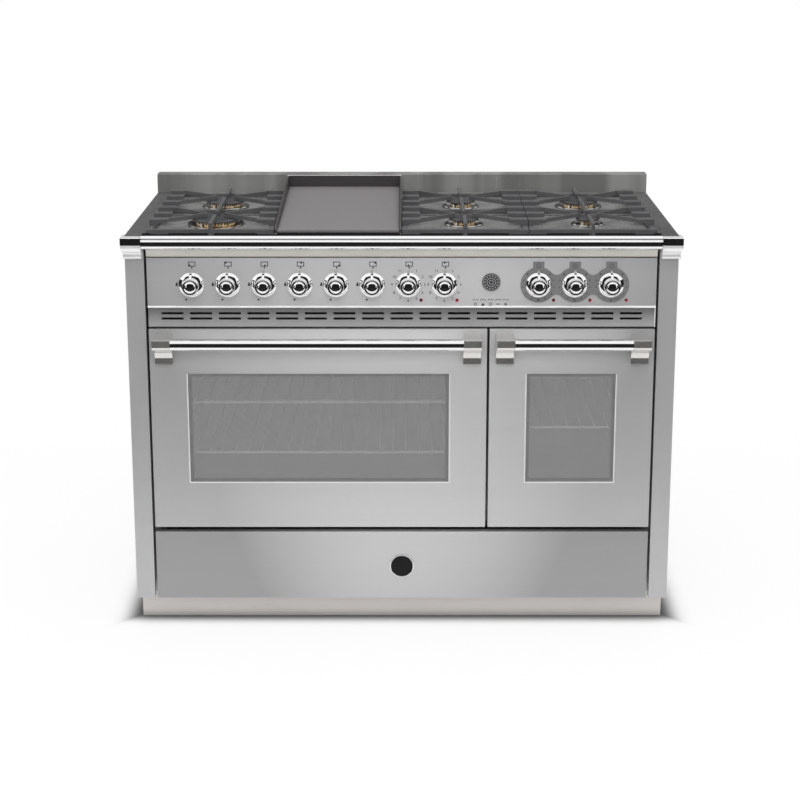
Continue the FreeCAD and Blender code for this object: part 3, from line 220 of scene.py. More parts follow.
class MarkSizes(bpy.types.PropertyGroup):
    """Marks on the control panel."""

    thickness: length("Thickness", "How far a mark stands proud", 0.00012)
    line: length("Line", "Width of a printed line", 0.0016)
    icon_width: length("Icon width", "Burner symbol", 0.0158)
    icon_height: length("Icon height", "Burner symbol", 0.0108)
    icon_rise: length("Icon rise", "Burner symbol above the knob's axis", 0.0460)
    pointer: length("Pointer", "Round mark under a burner symbol", 0.0018)
    dot: length("Dot", "Radius of the burner's dot", 0.0020)
    flame: length("Flame", "Height of the flame mark", 0.0090)
    scale_radius: length("Scale radius", "Numbers round a griddle knob", 0.0355)
    digit: length("Digit", "Height of the numbers", 0.0064)
    plate_fillet: length("Plate fillet", "Hollow between the discs of the oven plate", 0.0140)
    plate_tab: length("Plate tab", "Half the width of the plate's tabs", 0.0122)


class StudioSettings(bpy.types.PropertyGroup):
    """Camera, lamps and floor."""

    camera_place: FloatVectorProperty(
        name="Camera place", description="Where the camera stands", default=(0.0049, -4.0, 1.648),
        subtype="TRANSLATION")
    camera_pitch: FloatProperty(
        name="Camera pitch", description="Downward tilt", default=radians(13.515), subtype="ANGLE")
    lens: share("Lens", "Focal length in millimetres", 79.45)
    shift_x: share("Shift X", "Sideways shift of the lens", -0.005)
    shift_y: share("Shift Y", "Upright shift of the lens", -0.12)
    top_power: power("Top power", "Softbox over the hob", 60.0)
    front_power: power("Front power", "Softbox in front", 46.0)
    side_power: power("Side power", "Softbox on each side", 12.0)
    back_power: power("Back power", "Softbox behind", 20.0)
    ambient: share("Ambient", "Light from all round", 0.5)
    floor_glow: share("Floor glow", "Share of plain white in the floor beside the cooker", 0.86)
    # The dark band along the plinth is a painted shadow in the floor's colour.
    contact: length("Contact", "Width of the dark band along the plinth", 0.07)
    contact_depth: share("Contact depth", "Share of the floor's colour at the foot of the plinth", 0.12)
    curtain_grey: share("Curtain grey", "Tone of the dark curtains", 0.02)


class CookerSettings(bpy.types.PropertyGroup):
    """All settings of the cooker."""

    colours: PointerProperty(type=CookerColours)
    knob: PointerProperty(type=KnobSizes)
    trim: PointerProperty(type=TrimSizes)
    capital: PointerProperty(type=CapitalSizes)
    marks: PointerProperty(type=MarkSizes)
    studio: PointerProperty(type=StudioSettings)


def settings():
    """The scene's settings of the cooker."""
    return bpy.context.scene.cooker


# Shader maths

class Signal:
    """Output of a node. An expression with it adds Math nodes."""

    def __init__(self, nodes, socket):
        self.nodes = nodes
        self.socket = socket

    def __add__(self, other):
        return self.nodes.maths("ADD", self, other)

    def __radd__(self, other):
        return self.nodes.maths("ADD", other, self)

    def __sub__(self, other):
        return self.nodes.maths("SUBTRACT", self, other)

    def __rsub__(self, other):
        return self.nodes.maths("SUBTRACT", other, self)

    def __mul__(self, other):
        return self.nodes.maths("MULTIPLY", self, other)

    def __rmul__(self, other):
        return self.nodes.maths("MULTIPLY", other, self)

    def __gt__(self, other):
        return self.nodes.maths("GREATER_THAN", self, other)

    def __lt__(self, other):
        return self.nodes.maths("LESS_THAN", self, other)


class Nodes:
    """Node tree of a material or of the world."""

    def __init__(self, tree):
        self.tree = tree
        tree.nodes.clear()

    def node(self, kind, options=None, inputs=None, output=0):
        """Adds a node: its settings first, then the values or links of its sockets."""
        node = self.tree.nodes.new(kind)
        for option, value in (options or {}).items():
            setattr(node, option, value)
        for socket, value in (inputs or {}).items():
            self.join(node.inputs[socket], value)
        return Signal(self, node.outputs[output])

    def join(self, socket, value):
        """Links a signal to a socket, or sets its value."""
        if isinstance(value, Signal):
            self.tree.links.new(value.socket, socket)
        elif hasattr(value, "__len__") and socket.type == "RGBA":
            socket.default_value = (*value, 1.0)
        else:
            socket.default_value = value

    def maths(self, operation, *values):
        """Adds a Math node."""
        return self.node("ShaderNodeMath", {"operation": operation}, dict(enumerate(values)))

    def smooth(self, value, first, last, low=0.0, high=1.0):
        """Soft rise from low to high while a value goes from first to last."""
        return self.node("ShaderNodeMapRange", {"interpolation_type": "SMOOTHSTEP"}, {
            "Value": value, "From Min": first, "From Max": last, "To Min": low, "To Max": high})

    def seen(self):
        """1 for rays from the camera, a reflection or glass, and 0 for those that only give light."""
        rays = ("Is Camera Ray", "Is Glossy Ray", "Is Transmission Ray")
        straight, mirrored, through = [self.node("ShaderNodeLightPath", output=ray) for ray in rays]
        return straight + mirrored + through


class Finish(Nodes):
    """Material with one Principled shader and the nodes that feed it."""

    def __init__(self, name, constants):
        self.material = bpy.data.materials.new(name)
        self.material.use_nodes = True
        super().__init__(self.material.node_tree)
        self.output = self.tree.nodes.new("ShaderNodeOutputMaterial")
        self.shader = self.tree.nodes.new("ShaderNodeBsdfPrincipled")
        self.tree.links.new(self.shader.outputs[0], self.output.inputs[0])
        for socket, value in constants.items():
            self.feed(socket, value)

    def feed(self, name, value):
        """Sets or links one of the shader's own sockets."""
        self.join(self.shader.inputs[name], value)

    def place(self):
        """Object coordinates."""
        return self.node("ShaderNodeTexCoord", output="Object")

    def along(self, axis):
        """One of the object coordinates, in metres."""
        return self.node("ShaderNodeSeparateXYZ", inputs={0: self.place()}, output=axis)

    def noise(self, scale, detail=2.0, stretch=(1.0, 1.0, 1.0)):
        """Noise between about 0.3 and 0.7, stretched by scaling its coordinates."""
        where = self.node("ShaderNodeMapping", inputs={0: self.place(), "Scale": stretch})
        return self.node("ShaderNodeTexNoise", inputs={"Vector": where, "Scale": scale, "Detail": detail})

    def mixed(self, kind, mask, first, second):
        """Mixes two colours in one of the Mix node's ways."""
        options = {"data_type": "RGBA", "blend_type": kind}
        return self.node("ShaderNodeMix", options, {0: mask, 6: first, 7: second}, output=2)

    def blend(self, mask, first, second):
        """Goes from one colour to another."""
        return self.mixed("MIX", mask, first, second)

    def tint(self, first, second):
        """Multiplies two colours."""
        return self.mixed("MULTIPLY", 1.0, first, second)

    def bump(self, height, distance):
        """Raises the surface by a height map."""
        self.feed("Normal", self.node("ShaderNodeBump", inputs={"Height": height, "Distance": distance}))


# Finishes

PLAIN = (1.0, 1.0, 1.0)

# Noise scales of the metals, and how noise is drawn out along an axis
LINE_SCALE = 1400.0
STREAK_SCALE = 60.0
PATCH_SCALE = 9.0
HAZE_SCALE = 40.0
STRETCHES = {"X": (0.02, 1.0, 1.0), "Z": (1.0, 1.0, 0.02)}

# The fronts' painted sheen is brightest below this height, and falls with the square of the distance aside
PAINTED_SHEEN_HEIGHT = 0.75
PAINTED_SHEEN_FALL = 3.3

# Orange-peel of the coats, as noise scale and depth in metres
FINE_PEEL = {"grain": 300.0, "depth": 0.000002}
FAINT_PEEL = {"grain": 900.0, "depth": 0.000001}


def shade(tone, amount):
    """A colour made darker or lighter."""
    return tuple(min(1.0, channel * amount) for channel in tone)


def brushed(name, tone, roughness, direction="X", strength=1.0, metal=1.0, glow=0.0, painted_reflection_streaks=0.0):
    """Brushed sheet metal: fine lines along one axis, soft streaks, a painted sheen in the middle, and wide
    clouds that darken it in streaks, partly uneven brushing and partly painted reflections.
    """
    finish = Finish(name, {"Metallic": metal})
    stretch = STRETCHES[direction]
    lines = finish.noise(LINE_SCALE, 2.0, stretch)
    haze = finish.noise(3.0, 2.0)
    mask = 0.5 * lines + 0.5 * finish.noise(STREAK_SCALE, 3.0, stretch)
    # Wide stretched patches darken the colour in streaks: uneven brushing and painted blurred reflections.
    if painted_reflection_streaks:
        mask = mask + (finish.noise(PATCH_SCALE, 3.0, stretch) - 0.5) * (painted_reflection_streaks * 6)
    # Painted sheen: the colour is lighter low down and in the middle, and darker towards the sides and the
    # top, for the light the fronts reflect.
    aside = finish.along("X")
    sheen_falloff = aside * aside * PAINTED_SHEEN_FALL + (PAINTED_SHEEN_HEIGHT - finish.along("Z"))
    base = finish.blend(sheen_falloff, shade(tone, 1.0 + glow), shade(tone, 1.0 - glow))
    darkest = shade(PLAIN, 1.0 - 0.09 * strength - 0.42 * painted_reflection_streaks)
    finish.feed("Base Color", finish.tint(base, finish.blend(mask, darkest, PLAIN)))
    finish.feed("Roughness", (lines - 0.5) * (0.16 * strength) + (haze - 0.5) * 0.08 + roughness)
    finish.bump(lines, 0.00004 * strength)
    return finish.material


def polished(name, tone, roughness):
    """Polished or plated metal with the faintest haze."""
    finish = Finish(name, {"Metallic": 1.0})
    haze = finish.noise(HAZE_SCALE, 3.0)
    finish.feed("Base Color", finish.blend(haze, shade(tone, 0.96), shade(tone, 1.04)))
    finish.feed("Roughness", (haze - 0.5) * 0.04 + roughness)
    return finish.material


def coated(name, tone, roughness, grain=900.0, depth=0.00003, coat=0.0, gleam=0.5):
    """Enamel, paint, plastic or rubber with a fine orange-peel."""
    finish = Finish(name, {"Metallic": 0.0, "Coat Weight": coat, "Specular IOR Level": gleam})
    clouds = finish.noise(8.0, 2.0)
    finish.feed("Base Color", finish.blend(clouds, shade(tone, 0.92), shade(tone, 1.08)))
    finish.feed("Roughness", (clouds - 0.5) * 0.1 + roughness)
    finish.bump(finish.noise(grain, 2.0), depth)
    return finish.material


def cast_iron(name, tone):
    """Enamelled cast iron: sandy skin, with lighter worn patches."""
    finish = Finish(name, {"Metallic": 0.0, "Specular IOR Level": 0.55})
    sand = finish.noise(650.0, 4.0)
    wear = finish.noise(25.0, 4.0)
    finish.feed("Base Color", finish.blend(wear, shade(tone, 0.8), shade(tone, 1.25)))
    finish.feed("Roughness", (sand - 0.5) * 0.2 + 0.34)
    finish.bump(sand, 0.0001)
    return finish.material


def hob_steel(name, tone):
    """Brushed hob: a pressed pan between two side strips of the same steel, painted darker as a painted
    reflection of the dark surroundings.
    """
    finish = Finish(name, {"Metallic": 0.6})
    lines = finish.noise(LINE_SCALE, 2.0, STRETCHES["X"])
    clouds = finish.noise(7.0, 3.0)
    pan_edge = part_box("control_panel")[1].x + 0.004
    # Painted shade: the side strips take 0.42 of the pan's colour.
    strip = finish.maths("ABSOLUTE", finish.along("X")) > pan_edge
    base = finish.blend(strip, tone, shade(tone, 0.42))
    finish.feed("Base Color", finish.tint(base, finish.blend(lines, shade(PLAIN, 0.85), PLAIN)))
    finish.feed("Roughness", (lines - 0.5) * 0.1 + (clouds - 0.5) * 0.3 + 0.28)
    finish.bump(lines, 0.00002)
    return finish.material


def vent_steel(name, tone):
    """Polished strip with painted shade: darker under the panel's edge than at its foot."""
    finish = Finish(name, {"Metallic": 0.35, "Roughness": 0.3})
    low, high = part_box("vent_strip")
    height = finish.smooth(finish.along("Z"), low.z, high.z)
    lines = finish.noise(LINE_SCALE, 2.0, STRETCHES["X"])
    # Wide stretched noise paints soft streaks of reflection over the fine polishing lines.
    wide = finish.noise(6.0, 3.0, (1.0, 1.0, 0.1))
    # Painted shade: from 1.35 of the tone at the foot to 0.6 under the panel's edge.
    base = finish.blend(height, shade(tone, 1.35), shade(tone, 0.6))
    grain = finish.blend(0.4 * lines + 0.6 * wide, shade(PLAIN, 0.7), PLAIN)
    finish.feed("Base Color", finish.tint(base, grain))
    finish.bump(lines, 0.00001)
    return finish.material


def capital_metal(name, tone):
    """Capital: mirror block between a satin top and a bright satin neck."""
    finish = Finish(name, {})
    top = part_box("cornice_corners")[1].z
    satin_top = 0.0006
    height = finish.along("Z")
    block = (height > top - settings().capital.block_height) * (height < top - satin_top)
    haze = finish.noise(HAZE_SCALE, 3.0)
    finish.feed("Base Color", finish.blend(haze, shade(tone, 0.95), shade(tone, 1.0)))
    finish.feed("Metallic", block * 0.6 + 0.4)
    finish.feed("Roughness", haze * 0.05 + 0.2 - block * 0.17)
    return finish.material


def griddle_iron(name, floor_tone, wall_tone):
    """Griddle: ground floor between dark walls, and a painted highlight along the top of the back wall."""
    finish = Finish(name, {"Specular IOR Level": 0.5})
    low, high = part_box("griddle_plate")
    wall, highlight_depth, highlight_height = 0.006, 0.01, 0.0012
    x, y = finish.along("X"), finish.along("Y")
    inside = (x > low.x + wall) * (x < high.x - wall) * (y < high.y - wall)
    # Painted highlight: a thin band along the top of the back wall, twice the ground floor's colour.
    rim = (finish.along("Z") > high.z - highlight_height) * (y > high.y - highlight_depth)
    lines = finish.noise(900.0, 2.0, (1.0, 0.03, 1.0))
    ground = finish.blend(lines, shade(floor_tone, 0.9), shade(floor_tone, 1.1))
    edge = finish.blend(rim, wall_tone, shade(floor_tone, 2.0))
    finish.feed("Base Color", finish.blend(inside, edge, ground))
    finish.feed("Metallic", inside * 0.35)
    finish.feed("Roughness", (lines - 0.5) * 0.15 + 0.42)
    finish.bump(lines, 0.00004)
    return finish.material


def oven_glass(name, tone):
    """Coated outer pane and clear inner pane of the doors."""
    finish = Finish(name, {"Metallic": 0.0, "Specular IOR Level": 0.5})
    between_panes = FRONT + 0.012
    outer = finish.along("Y") < between_panes
    film = finish.noise(14.0, 2.0)
    finish.feed("Base Color", finish.blend(film, shade(tone, 0.97), shade(tone, 1.03)))
    finish.feed("Roughness", (film - 0.5) * 0.05 + 0.09)
    finish.feed("Alpha", outer * 0.38 + 0.03)
    return finish.material


# Makers of the finishes: the record's slots first, then those of new pieces and of single nodes
FINISH_MAKERS = {
    # glow paints a sheen into the fronts' colour, stronger on the drawer; the backguard gets painted
    # reflection streaks.
    "steel": lambda c: brushed("Brushed steel", c.steel, 0.36, metal=0.4, glow=0.22),
    "dark_steel": lambda c: hob_steel("Hob steel", c.dark_steel),
    "frame_steel": lambda c: brushed("Galvanised sheet", c.zinc, 0.45, "Z", 0.8),
    "chrome": lambda c: polished("Chrome", c.chrome, 0.05),
    "handle_steel": lambda c: brushed("Satin brackets", c.bracket, 0.07, strength=0.1, metal=0.85),
    "knob_metal": lambda c: polished("Knob chrome", c.chrome, 0.04),
    "glass": lambda c: oven_glass("Oven glass", c.glass),
    "enamel": lambda c: coated("Oven enamel", c.enamel, 0.25, 500.0, 0.00005),
    "rack_wire": lambda c: coated("Rack wire", c.wire, 0.3, 600.0, 0.000002, 0.3),
    "rubber": lambda c: coated("Gasket", c.rubber, 0.7),
    "zinc": lambda c: brushed("Zinc", c.zinc, 0.4, strength=0.8),
    "alloy": lambda c: brushed("Cast alloy", c.alloy, 0.5, strength=0.4),
    "switch_plastic": lambda c: coated("Plastic", c.plastic, 0.5),
    "bowl_metal": lambda c: brushed("Burner bowl", c.dark_steel, 0.25, strength=0.6),
    "brass": lambda c: polished("Brass", c.brass, 0.14),
    "cap_enamel": lambda c: coated("Cap enamel", c.cap, 0.32, 600.0, 0.00005),
    "ceramic": lambda c: coated("Ceramic", c.ceramic, 0.3),
    "cast_iron": lambda c: cast_iron("Cast iron", c.iron),
    "griddle_iron": lambda c: griddle_iron("Griddle", c.griddle, c.griddle_wall),
    "black_plate": lambda c: coated("Dial plate", c.plate, 0.38, 1200.0, 0.00002),
    "black_gloss": lambda c: coated("Black gloss", c.black, 0.16, gleam=0.2, **FINE_PEEL),
    "timer_black": lambda c: coated("Timer face", c.timer, 0.3),
    # The lit lens's brighter red is a painted glow.
    "lamp_red": lambda c: coated("Lamp lens", c.lamp, 0.15, coat=0.8, **FINE_PEEL),
    "lamp_off": lambda c: coated("Lamp lens, unlit", c.lamp_off, 0.15, coat=0.8, **FINE_PEEL),
    "guard_steel": lambda c: brushed(
        "Backguard steel", c.guard_steel, 0.26, "Z", 0.35, metal=0.4, painted_reflection_streaks=0.9),
    "drawer_steel": lambda c: brushed("Drawer steel", c.steel, 0.34, metal=0.5, glow=0.45),
    "vent_steel": lambda c: vent_steel("Vent steel", c.vent_steel),
    "plinth_steel": lambda c: brushed("Plinth steel", c.plinth_steel, 0.36, metal=0.4),
    "capital_metal": lambda c: capital_metal("Capitals", c.chrome),
    # Painted highlight for the window edges and the panel's lip.
    "bright_edge": lambda c: brushed("Bright edge", c.bright_edge, 0.3, strength=0.2, metal=0.2),
    "cove_satin": lambda c: coated("Cove satin", c.cove, 0.3, **FAINT_PEEL),
    "print": lambda c: coated("Panel print", c.print, 0.5),
    "pale_print": lambda c: coated("Pale print", c.pale_print, 0.5),
}
made = {}


def finish_of(key):
    """Material of a finish, made once."""
    if key not in made:
        made[key] = FINISH_MAKERS[key](settings().colours)
    return made[key]


# Shapes

def bow(start, through, end, steps):
    """Points after the start of the round arc through three points."""
    (ax, ay), (bx, by), (cx, cy) = start, through, end
    a, b, c = (x * x + y * y for x, y in (start, through, end))
    twice_area = 2 * (ax * (by - cy) + bx * (cy - ay) + cx * (ay - by))
    ox = (a * (by - cy) + b * (cy - ay) + c * (ay - by)) / twice_area
    oy = (a * (cx - bx) + b * (ax - cx) + c * (bx - ax)) / twice_area
    radius = hypot(ax - ox, ay - oy)
    first, mid, last = (atan2(y - oy, x - ox) for x, y in (start, through, end))
    turn = (last - first) % (2 * pi)
    if (mid - first) % (2 * pi) > turn:
        turn -= 2 * pi
    angles = [first + turn * step / steps for step in range(1, steps + 1)]
    return [(ox + radius * cos(angle), oy + radius * sin(angle)) for angle in angles]


def oval(centre, radii, first, last, steps):
    """Points of part of an ellipse, angles in degrees."""
    angles = [radians(first + (last - first) * step / steps) for step in range(steps + 1)]
    return [(centre[0] + radii[0] * cos(a), centre[1] + radii[1] * sin(a)) for a in angles]


def outward(shape):
    """Turns a shape's faces outward."""
    bmesh.ops.recalc_face_normals(shape, faces=shape.faces)
    return shape


def lathe(profile, steps=TURNED_STEPS, ring=False):
    """Shape turned about Z through (radius, height) points, from axis to axis or closed as a ring."""
    shape = bmesh.new()
    corners = [shape.verts.new((radius, 0.0, height)) for radius, height in profile]
    after = corners[1:] + corners[:1] if ring else corners[1:]
    edges = [shape.edges.new(pair) for pair in zip(corners, after)]
    bmesh.ops.spin(shape, geom=corners + edges, cent=(0, 0, 0), axis=(0, 0, 1), angle=2 * pi, steps=steps,
                   use_merge=True)
    bmesh.ops.remove_doubles(shape, verts=shape.verts, dist=MERGE)
    return outward(shape)


def washer(profile, steps=TURNED_STEPS):
    """Turned ring about Z from a closed (radius, height) outline."""
    return lathe(profile, steps, True)


def raised(shape, depth):
    """Pushes flat faces up along Z into a solid."""
    pushed = bmesh.ops.extrude_face_region(shape, geom=shape.faces[:])
    moved = [item for item in pushed["geom"] if isinstance(item, bmesh.types.BMVert)]
    bmesh.ops.translate(shape, verts=moved, vec=(0, 0, depth))
    return outward(shape)


def prism(outline, depth):
    """Flat outline in X and Y, pushed up along Z."""
    shape = bmesh.new()
    shape.faces.new([shape.verts.new((x, y, 0.0)) for x, y in outline])
    return raised(shape, depth)


def slab(low, high):
    """Box between two corners."""
    low, high = Vector(low), Vector(high)
    size = Matrix.Diagonal((*(high - low), 1.0))
    shape = bmesh.new()
    bmesh.ops.create_cube(shape, size=1.0, matrix=Matrix.Translation((low + high) / 2) @ size)
    return shape


def placed(shape, matrix):
    """Moves a shape, and keeps its faces outward."""
    bmesh.ops.transform(shape, matrix=matrix, verts=shape.verts)
    return outward(shape) if matrix.determinant() < 0 else shape


def softened(shape, width, segments=2, limit=radians(30)):
    """Rounds the sharp edges of a shape."""
    edges = [edge for edge in shape.edges if edge.calc_face_angle(0.0) > limit]
    bmesh.ops.bevel(shape, geom=edges, offset=width, segments=segments, profile=0.5, affect="EDGES",
                    clamp_overlap=True, material=-1)
    return shape


def rod(radius, depth, steps):
    """Round rod about Z, with its middle on the origin."""
    shape = bmesh.new()
    bmesh.ops.create_cone(shape, cap_ends=True, segments=steps, radius1=radius, radius2=radius, depth=depth)
    return shape


def disc(radius, thickness, place=(0.0, 0.0), steps=16):
    """Thin round mark."""
    return placed(rod(radius, thickness, steps), Matrix.Translation((*place, thickness / 2)))


def wire(start, end, radius, steps=12):
    """Round wire between two points."""
    start, end = Vector(start), Vector(end)
    along = end - start
    turn = along.to_track_quat("Z", "Y").to_matrix().to_4x4()
    return placed(rod(radius, along.length, steps), Matrix.Translation((start + end) / 2) @ turn)


def ball(place, radius, subdivisions):
    """Round blob at a place."""
    shape = bmesh.new()
    bmesh.ops.create_icosphere(
        shape, subdivisions=subdivisions, radius=radius, matrix=Matrix.Translation(place))
    return shape


def sideways(outline, xs):
    """Prism whose outline lies in Y and Z, from one X to another."""
    return placed(prism(outline, xs[1] - xs[0]), Matrix.Translation((xs[0], 0, 0)) @ SIDEWAYS)


def on_panel(x, z, y=FRONT):
    """Matrix that takes a shape drawn in X and Y, with Z up, to the front of the panel at a place."""
    return Matrix.Translation((x, y, z)) @ FORWARD


def mesh_of(shape, name):
    """Mesh of a shape, which is used up."""
    mesh = bpy.data.meshes.new(name)
    shape.to_mesh(mesh)
    shape.free()
    return mesh


def gathered(shapes):
    """One shape that holds all the given ones."""
    whole = bmesh.new()
    for shape in shapes:
        mesh = mesh_of(shape, "part")
        whole.from_mesh(mesh)
        bpy.data.meshes.remove(mesh)
    return whole


def put(name, data):
    """New object in the scene."""
    item = bpy.data.objects.new(name, data)
    bpy.context.scene.collection.objects.link(item)
    return item


def upright(low, high):
    """Place of the foot, radius and height of an upright round solid, from its box."""
    foot = Matrix.Translation(((low.x + high.x) / 2, (low.y + high.y) / 2, low.z))
    return foot, (high.x - low.x) / 2, high.z - low.z


def islands(node):
    """Boxes of the separate solids of a CAD node, as (low, high) pairs."""
    copy = bmesh.new()
    copy.from_mesh(frame["nodes"][node].data)
    bmesh.ops.remove_doubles(copy, verts=copy.verts, dist=MERGE)
    left = set(copy.verts)
    found = []
    while left:
        stack = [left.pop()]
        group = list(stack)
        while stack:
            for edge in stack.pop().link_edges:
                for vert in edge.verts:
                    if vert in left:
                        left.remove(vert)
                        stack.append(vert)
                        group.append(vert)
        found.append(box_of([vert.co for vert in group]))
    copy.free()
    return sorted(found, key=lambda pair: (round(pair[0].x, 2), pair[0].y))


def box_of(places):
    """Lowest and highest corner round some places."""
    return tuple(Vector([pick(place[axis] for place in places) for axis in range(3)]) for pick in (min, max))


def lead_normals(piece, keep_sharp):
    """Lets a piece's large faces lead its shading."""
    normals = piece.modifiers.new("Normals", "WEIGHTED_NORMAL")
    normals.weight = 100
    normals.keep_sharp = keep_sharp


def around(x, z, radius, turn, face=FRONT):
    """Matrix to a place on the panel round an axis, at an angle in degrees from the right."""
    angle = radians(turn)
    return on_panel(x + radius * cos(angle), z + radius * sin(angle), face)


def across(low, high):
    """X and Z of the middle of a round piece's box, and its radius."""
    return (low.x + high.x) / 2, (low.z + high.z) / 2, (high.x - low.x) / 2


def add_piece(shape, name, finish, body, replaces=(), sharp=SHARP):
    """Makes the finished object: smooth faces, sharp edges kept, material, body, slot."""
    for face in shape.faces:
        face.smooth = True
    for edge in shape.edges:
        edge.smooth = edge.calc_face_angle(0.0) < sharp
    piece = put(name, mesh_of(shape, name))
    piece.data.materials.append(finish_of(finish))
    lead_normals(piece, True)
    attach(piece, body)
    if replaces:
        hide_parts(*replaces)


# Pieces

NODE_FINISHES = {"vent_strip": "vent_steel", "plinth": "plinth_steel", "backguard": "guard_steel",
                 "drawer_front": "drawer_steel"}
BEVEL_WIDTH = 0.0007
WIDE_BEVELS = {"grate_left": 0.0011, "grate_centre": 0.0011, "grate_right": 0.0011, "griddle_plate": 0.0016}
WELD_DISTANCE = 1e-5
FLAT_ANGLE = radians(1)


class COOKER_OT_finishes(bpy.types.Operator):
    """Give every CAD node its finish and soft edges"""

    bl_idname = "cooker.finishes"
    bl_label = "Finishes"

    def execute(self, context):
        slots = {entry["node"]: entry["material_slot"] for entry in frame["record"]["subparts"]}
        for name, piece in frame["nodes"].items():
            finish = finish_of(NODE_FINISHES.get(name, slots[name]))
            piece.data.materials.clear()
            piece.data.materials.append(finish)
            for polygon in piece.data.polygons:
                polygon.use_smooth = True
            weld = piece.modifiers.new("Weld", "WELD")
            weld.merge_threshold = WELD_DISTANCE
            flats = piece.modifiers.new("Flats", "DECIMATE")
            flats.decimate_type = "DISSOLVE"
            flats.angle_limit = FLAT_ANGLE
            edges = piece.modifiers.new("Edges", "BEVEL")
            edges.width = WIDE_BEVELS.get(name, BEVEL_WIDTH)
            edges.segments = 2
            edges.limit_method = "ANGLE"
            edges.angle_limit = SHARP
            lead_normals(piece, False)
        return {"FINISHED"}


def knob_shape(sizes, height):
    """Knob of a given height standing on Z = 0, with its ridge towards +Y."""
    swell, hollow, ridge_edge = 0.0006, 0.0005, 0.0005
    edge = sizes.flange_edge / 2
    waist = height - sizes.waist_drop
    lip_middle = height - sizes.lip_drop
    lip_half = sizes.lip_thickness / 2
    flange = oval((sizes.flange_radius - edge, edge), (edge, edge), -90, 60, 10)
    bell = (sizes.drum_radius + edge, sizes.bell_height)
    full = ((flange[-1][0] + bell[0]) / 2 + swell, (flange[-1][1] + bell[1]) / 2 + swell)
    dish = bow(flange[-1], full, bell, 8)
    drum = (sizes.drum_radius, bell[1] + edge * 1.8)
    skirt = bow(bell, (sizes.drum_radius + edge * 0.3, bell[1] + edge * 0.6), drum, 6)
    middle = (sizes.waist_radius + hollow, (skirt[-1][1] + waist) / 2)
    grip = bow(skirt[-1], middle, (sizes.waist_radius, waist), 8)
    lip = oval((sizes.lip_radius - lip_half, lip_middle), (lip_half, lip_half), -75, 100, 14)
    rise = sizes.lip_drop - lip_half * 0.7
    dome = oval((0.0, height - rise), (sizes.dome_radius, rise), 0, 90, 16)
    body = lathe([(0.0, 0.0)] + flange + dish + skirt + grip + lip + dome[:-1] + [(0.0, height)])
    inner = sizes.waist_radius * 0.6
    outline = [(inner, edge), (sizes.ridge_foot, edge * 1.4), (sizes.ridge_foot, edge * 2.6),
               (sizes.ridge_head, waist + edge), (inner, waist + edge)]
    ridge = softened(prism(outline, sizes.ridge_width), ridge_edge)
    return gathered([body, placed(ridge, Matrix.Translation((-sizes.ridge_width / 2, 0, 0)) @ SIDEWAYS)])


class COOKER_OT_knobs(bpy.types.Operator):
    """Turn the knobs with their pointer ridges and spindles"""

    bl_idname = "cooker.knobs"
    bl_label = "Knobs"

    def execute(self, context):
        sizes = settings().knob
        spindle_radius, overlap, sharp = 0.004, 0.001, radians(28)
        for node in GAS_KNOBS + GRIDDLE_KNOBS + OVEN_KNOBS:
            low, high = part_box(node)
            x, z = knob_axis(node)
            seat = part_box("oven_dial_plate")[0].y if node in OVEN_KNOBS else FRONT
            foot = seat - sizes.clearance
            knob = placed(knob_shape(sizes, foot - low.y), on_panel(x, z, foot))
            spindle = wire((x, foot - overlap, z), (x, high.y, z), spindle_radius, 24)
            add_piece(gathered([knob, spindle]), "turned_" + node, "knob_metal", node, (node,),
                      sharp)
        return {"FINISHED"}


def capital_shape(low, high, sizes):
    """Right corner block of the cornice: rings of one L-shaped plan, stacked along its profile."""
    foot, top = low.z, high.z
    block = top - sizes.block_height
    neck = block - sizes.cyma_height
    swell = (sizes.neck_depth * sizes.bulge_share, neck + sizes.cyma_height * sizes.bulge_height_share)
    ring = foot + sizes.astragal
    depth = sizes.neck_depth
    chamfer, quirk, seam, fillet, hair = 0.0008, 0.0004, 0.0005, 0.0006, 0.0001
    levels = [(0.0, foot)] + bow((0.0, foot), (sizes.astragal * 0.4, (foot + ring) / 2), (0.0, ring), 8)
    levels += bow((0.0, ring), (sizes.neck_hollow, (ring + neck) / 2), (depth * 0.08, neck - chamfer), 10)
    levels += [(0.0, neck - quirk), (depth * 0.04, neck)]
    levels += bow(levels[-1], swell, (depth - hair, block - fillet), 14)
    levels += [(depth * 0.95, block - quirk), (depth * 0.95, block), (depth, block + seam)]
    levels += [(depth, top - chamfer), (depth - chamfer, top)]
    outer = high.x - sizes.overhang
    shape = bmesh.new()
    stack = []
    for out, z in levels:
        front = low.y + depth - out
        side = high.x - sizes.neck_inset * (1 - out / depth)
        plan = [(low.x, front), (side, front), (side, high.y),
                (outer, high.y), (outer, FRONT), (low.x, FRONT)]
        stack.append([shape.verts.new((x, y, z)) for x, y in plan])
    for lower, upper in zip(stack, stack[1:]):
        for index in range(len(lower)):
            after = (index + 1) % len(lower)
            shape.faces.new((lower[index], lower[after], upper[after], upper[index]))
    shape.faces.new(stack[0])
    shape.faces.new(stack[-1])
    return outward(shape)


class COOKER_OT_capitals(bpy.types.Operator):
    """Stack the moulded corner blocks of the cornice"""

    bl_idname = "cooker.capitals"
    bl_label = "Capitals"

    def execute(self, context):
        shape = capital_shape(*islands("cornice_corners")[1], settings().capital)
        other = placed(shape.copy(), Matrix.Diagonal((-1.0, 1.0, 1.0, 1.0)))
        sharp = radians(25)
        add_piece(gathered([shape, other]), "stacked_capitals", "capital_metal", "cooker_body",
                  ("cornice_corners",), sharp)
        return {"FINISHED"}


